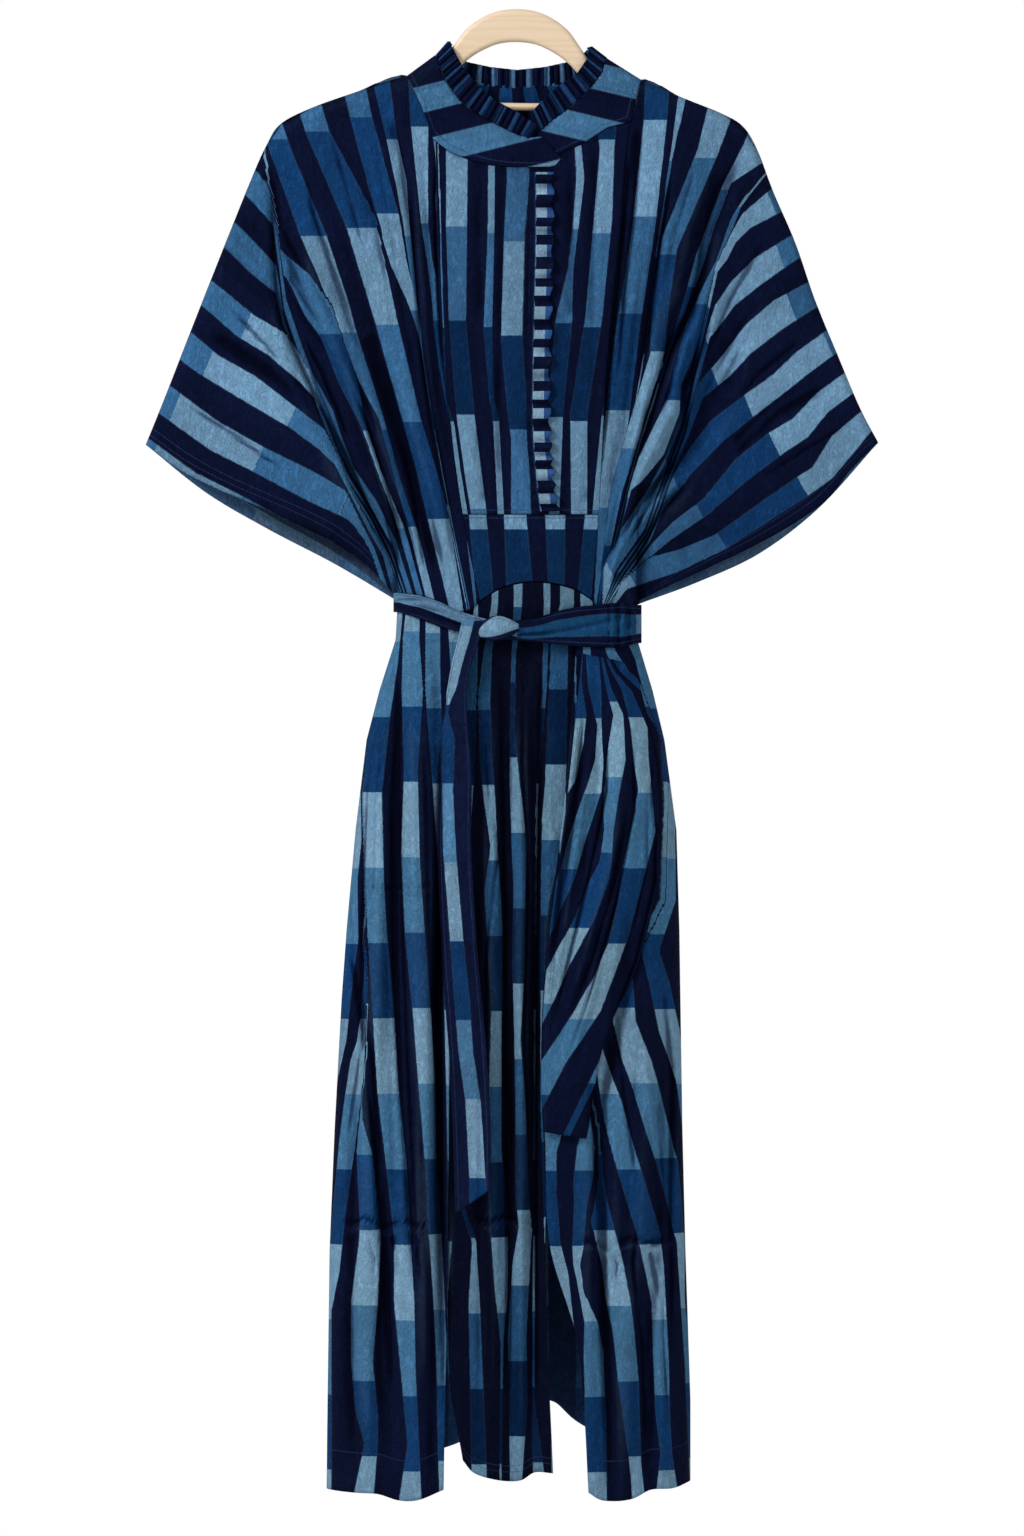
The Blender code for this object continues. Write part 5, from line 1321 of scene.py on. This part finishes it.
skirtPatch("skirt_drape", smooth(drapeLeft), smooth(drapeRight), runOf(drapeLeft[0], drapeRight[0]),
           runOf(drapeLeft[-1], drapeRight[-1]),
           spread(70), 150, -1, lambda down: 6 + 0 * down, skirtFolds, skirtCreases, 44, drapeStripes,
           1012 - 75 * 14, (drapeCloth, skirtReverseShaded), False)
backStripes = tuple(
    tuple((d, x0 + (x0 - 517) * s - 9 * (0.75 + s), x0 + (x0 - 517) * s + 9 * (0.75 + s)) for d,
          s in ((604, -0.28), (900, 0.0), (1500, 0.08)))
    for x0 in range(340, 700, 40)
)
t = spread(160)
ends = (1 - np.cos(t * math.pi)) / 2
skirtPatch("skirt_back", rim(0, 1470), rim(1, 1470), smooth(skirtBackTop), smooth(backHem), mix(t, ends, 0.7),
           180, 1, level, skirtBackFolds, skirtCreases, 45, backStripes, 1012 - 75 * 13,
           (skirtCloth, skirtReverseShaded))
print("skirt")

# Belt, knot and tail
belt = {"ahead": 3.8, "knotAhead": 5, "fold": 0.8}
front = [(a, up, low) for a, up, low in beltFront]
behind = [front[0]] + [(a, up, low) for a, up, low in beltBack[::-1]] + [front[-1]]
half, deep = waistHalf + belt["ahead"] / 0.95, waistDepth + belt["ahead"]
us, vs = np.linspace(0, 1, 321), spread(20)
angle = 2 * math.pi * us
across = waistMiddle - half * np.sign(np.cos(angle)) * np.abs(np.cos(angle)) ** (2 / squareness)
y = -deep * np.sign(np.sin(angle)) * np.abs(np.sin(angle)) ** (2 / squareness)
edges = []
for line in (front, behind):
    rows = np.array(line, float)
    edges.append([np.interp(across, rows[:, 0], rows[:, k]) for k in (1, 2)])
up = np.where(y < 0, edges[0][0], edges[1][0])
low = np.where(y < 0, edges[0][1], edges[1][1])
towardsKnot = np.where(y < 0, ease(1 - np.abs(across - 500) / 45), 0)
down = mix(up[:, None], low[:, None], vs[None])
lengthwise = np.sin(vs[None] * 9.4 + 2.2 * np.sin(us * 21)[:,
                                                           None]) * belt["fold"] + 0.5 * np.sin(vs[None] * 21 + us[:, None] * 60)
upright = 1.5 * np.sin((across - 600) * 0.62)[:, None] * ease((across - 604) / 8)[:, None] * (y < 0)[:, None]
lengthwise = lengthwise + upright
away = belt["knotAhead"] * towardsKnot[:, None] + np.maximum(lengthwise, -1.0) * (y < 0)[:, None]
spots = place(across[:, None] + 0 * down, down, y[:, None] - away)
gap = spots[:, 1] - spots[:, 0]
number = vs[None] + (0.23 * ease((505 - across) / 20) - 0.12 * ease((across - 505) / 20) * ease((560 - across) / 40))[:, None] + 0.02 * np.sin(us * 40)[:, None]
run = np.where(y < 0, (across - 398), 0)[:, None] * 0.0016 + 0 * down
hem = np.minimum(vs, 1 - vs)[None] * 0.03 + 0 * down
piece = sheetPiece("belt", spots, number, run, hem, -1, (beltCloth,), 1.1, closed=True)
declare("belt", piece)

us, vs = spread(40), spread(30)
across = mix(478, 519, us)[:, None] + 0 * vs[None]
top = mix(632, 625, us) - 12.5 * np.sin(math.pi * us ** 0.75)
low = mix(637, 631, us) + 7 * np.sin(math.pi * us)
down = mix(top[:, None], low[:, None], vs[None])
plump = np.sin(math.pi * vs)[None] ** 0.6 * np.sin(math.pi * np.clip(us, 0.02, 0.98))[:, None] ** 0.5
swell = 2.1 + 4.5 * plump + 0.5 * np.sin(vs * 16)[None] * np.sin(us * 9)[:, None] * plump
y = -(girth(across - waistMiddle, waistHalf, waistDepth) + belt["ahead"] + belt["knotAhead"] * ease(1 - np.abs(across - 500) / 45)) - swell
number = 0.5 + 0.66 * (vs[None] - 0.40 + 0.3 * (us[:, None] - 0.5))
piece = sheetPiece("belt_knot", pulledBack(place(across, down, y), 0.3), number, 0.18 + 0 * across,
                   np.minimum(vs, 1 - vs)[None] * 0.03 + 0 * across, -1, (tailCloth,), 1.1)
declare("belt_knot", piece)

tailStripe = (
    ((618, 462, 475), (641, 457, 469), (665, 451, 462), (690, 447, 456), (703, 447, 450), (712, 447, 448),
     (722, 444, 450), (740, 441, 455), (790, 443, 453), (850, 444, 456), (900, 448, 460), (945, 451, 464),
     (1000, 455, 470), (1050, 459, 473), (1100, 466, 481), (1180, 470, 486), (1215, 470, 486)),
)
us, vs = spread(26), spread(220)
middle = spline(tail, vs)
across = middle[None, :, 0] + middle[None, :, 2] * (2 * us - 1)[:, None]
down = middle[None, :, 1] + ease((vs - 0.8) / 0.2)[None] * (13 * (1 - us) - 12 * us)[:, None]
ahead = mix(10.6, 6, ease((down - 648) / 50))
soft = 0.9 * np.sin(us * 5.2 + 0.6)[:, None] * np.sin(vs * 13)[None] + 0.4 * rumple(across, down, 51, 26)
depth = skirtDepth(across, down, skirtFolds) + ahead + np.maximum(soft, -1.2)
piece = sheetPiece("belt_tail", pulledBack(place(across, down, -depth), 0.3),
                   stripeAt(tailStripe, across, down), (down - 705) * unit,
                   np.minimum(us, 1 - us)[:, None] * 0.034 + 0 * across, -1, (tailCloth,), 1.1)
declare("belt_tail", piece)
print("belt")

# Hanger: a rounded board with an arch, turned upright and tilted as it hangs
hanger = {"thick": 10, "edge": 4.4, "tilt": 0.85}
outer = list(boardTop) + list(boardUnder)
outer += [(-x, z) for x, z in reversed(outer) if x]
eyeLine = list(eye) + [(-x, z) for x, z in reversed(eye) if x]


def rounded(points, finer=6):
    points = np.array(points, float)
    looped = np.concatenate([points[-1:], points, points[:2]])
    t = np.arange(len(points) * finer) / finer
    i, f = t.astype(int), (t % 1)[:, None]
    p, q, r, s = (looped[i + k] for k in range(4))
    return 0.5 * (2 * q + (r - p) * f + (2 * p - 5 * q + 4 * r - s) * f * f + (3 * q - 3 * r + s - p) * f ** 3)


flat = bpy.data.curves.new("hanger_outline", "CURVE")
flat.dimensions = "2D"
flat.fill_mode = "BOTH"
flat.extrude = (hanger["thick"] / 2 - hanger["edge"]) * mm
flat.bevel_depth = hanger["edge"] * mm
flat.bevel_resolution = 5
flat.offset = -hanger["edge"] * mm
for points in (rounded(outer), rounded(eyeLine)):
    ring = flat.splines.new("POLY")
    ring.points.add(len(points) - 1)
    for point, (x, z) in zip(ring.points, points):
        point.co = (x * mm, z * mm, 0, 1)
    ring.use_cyclic_u = True
drawn = bpy.data.objects.new("hanger_drawn", flat)
bpy.context.scene.collection.objects.link(drawn)
mesh = bpy.data.meshes.new_from_object(drawn.evaluated_get(bpy.context.evaluated_depsgraph_get()))
bpy.data.objects.remove(drawn, do_unlink=True)
mesh.transform(Matrix.Rotation(math.radians(hanger["tilt"]), 4, "Y") @ Matrix.Rotation(math.radians(90), 4,
                                                                                       "X"))
mesh.materials.clear()
mesh.materials.append(hangerWood)
mesh.shade_smooth()
mesh.set_sharp_from_angle(angle=math.radians(40))
board = bpy.data.objects.new("hanger_board", mesh)
bpy.context.scene.collection.objects.link(board)
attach(board, "root")
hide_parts("hanger")
print("hanger")

# Room: pale floor, soft light, camera
room = {"floor": -1.95, "distance": 12.0, "lens": 296.0, "sky": 0.46}
floorMesh = bmesh.new()
bmesh.ops.create_grid(floorMesh, x_segments=1, y_segments=1, size=2.2)
mesh = bpy.data.meshes.new("floor")
floorMesh.to_mesh(mesh)
floorMesh.free()
mesh.transform(Matrix.Translation((0, 0, room["floor"])))
floor = bpy.data.objects.new("floor", mesh)
floorSkin = Skin("pale_floor", roughness=0.9)
floorSkin.set("Base Color", (0.85, 0.85, 0.85))
mesh.materials.append(floorSkin.material)
bpy.context.scene.collection.objects.link(floor)

world = bpy.data.worlds.new("studio")
world.use_nodes = True
bpy.context.scene.world = world
tree = world.node_tree
sky = tree.nodes["Background"]
sky.inputs["Color"].default_value = (1, 1, 1, 1)
rays = tree.nodes.new("ShaderNodeLightPath")
strength = tree.nodes.new("ShaderNodeMix")
strength.inputs["A"].default_value = room["sky"]
strength.inputs["B"].default_value = 1.0
tree.links.new(rays.outputs["Is Camera Ray"], strength.inputs["Factor"])
tree.links.new(strength.outputs["Result"], sky.inputs["Strength"])


def softLight(name, where, size, power):
    lamp = bpy.data.lights.new(name, "AREA")
    lamp.shape, lamp.size, lamp.energy = "DISK", size, power
    made = bpy.data.objects.new(name, lamp)
    made.location = where
    made.rotation_euler = (Vector((0, 0, -0.65)) - Vector(where)).to_track_quat("-Z", "Y").to_euler()
    bpy.context.scene.collection.objects.link(made)


softLight("key", (-2.4, -2.0, 1.4), 0.9, 78)
softLight("fill", (2.4, -2.6, 0.0), 1.8, 9)

lens = bpy.data.cameras.new("camera")
lens.lens = room["lens"]
lens.sensor_width = 36
lens.sensor_fit = "AUTO"
camera = bpy.data.objects.new("camera", lens)
camera.location = (-0.00475, -room["distance"], -0.6897)
camera.rotation_euler = (math.radians(90), 0, 0)
bpy.context.scene.collection.objects.link(camera)
bpy.context.scene.camera = camera
bpy.context.scene.view_settings.view_transform = "Standard"
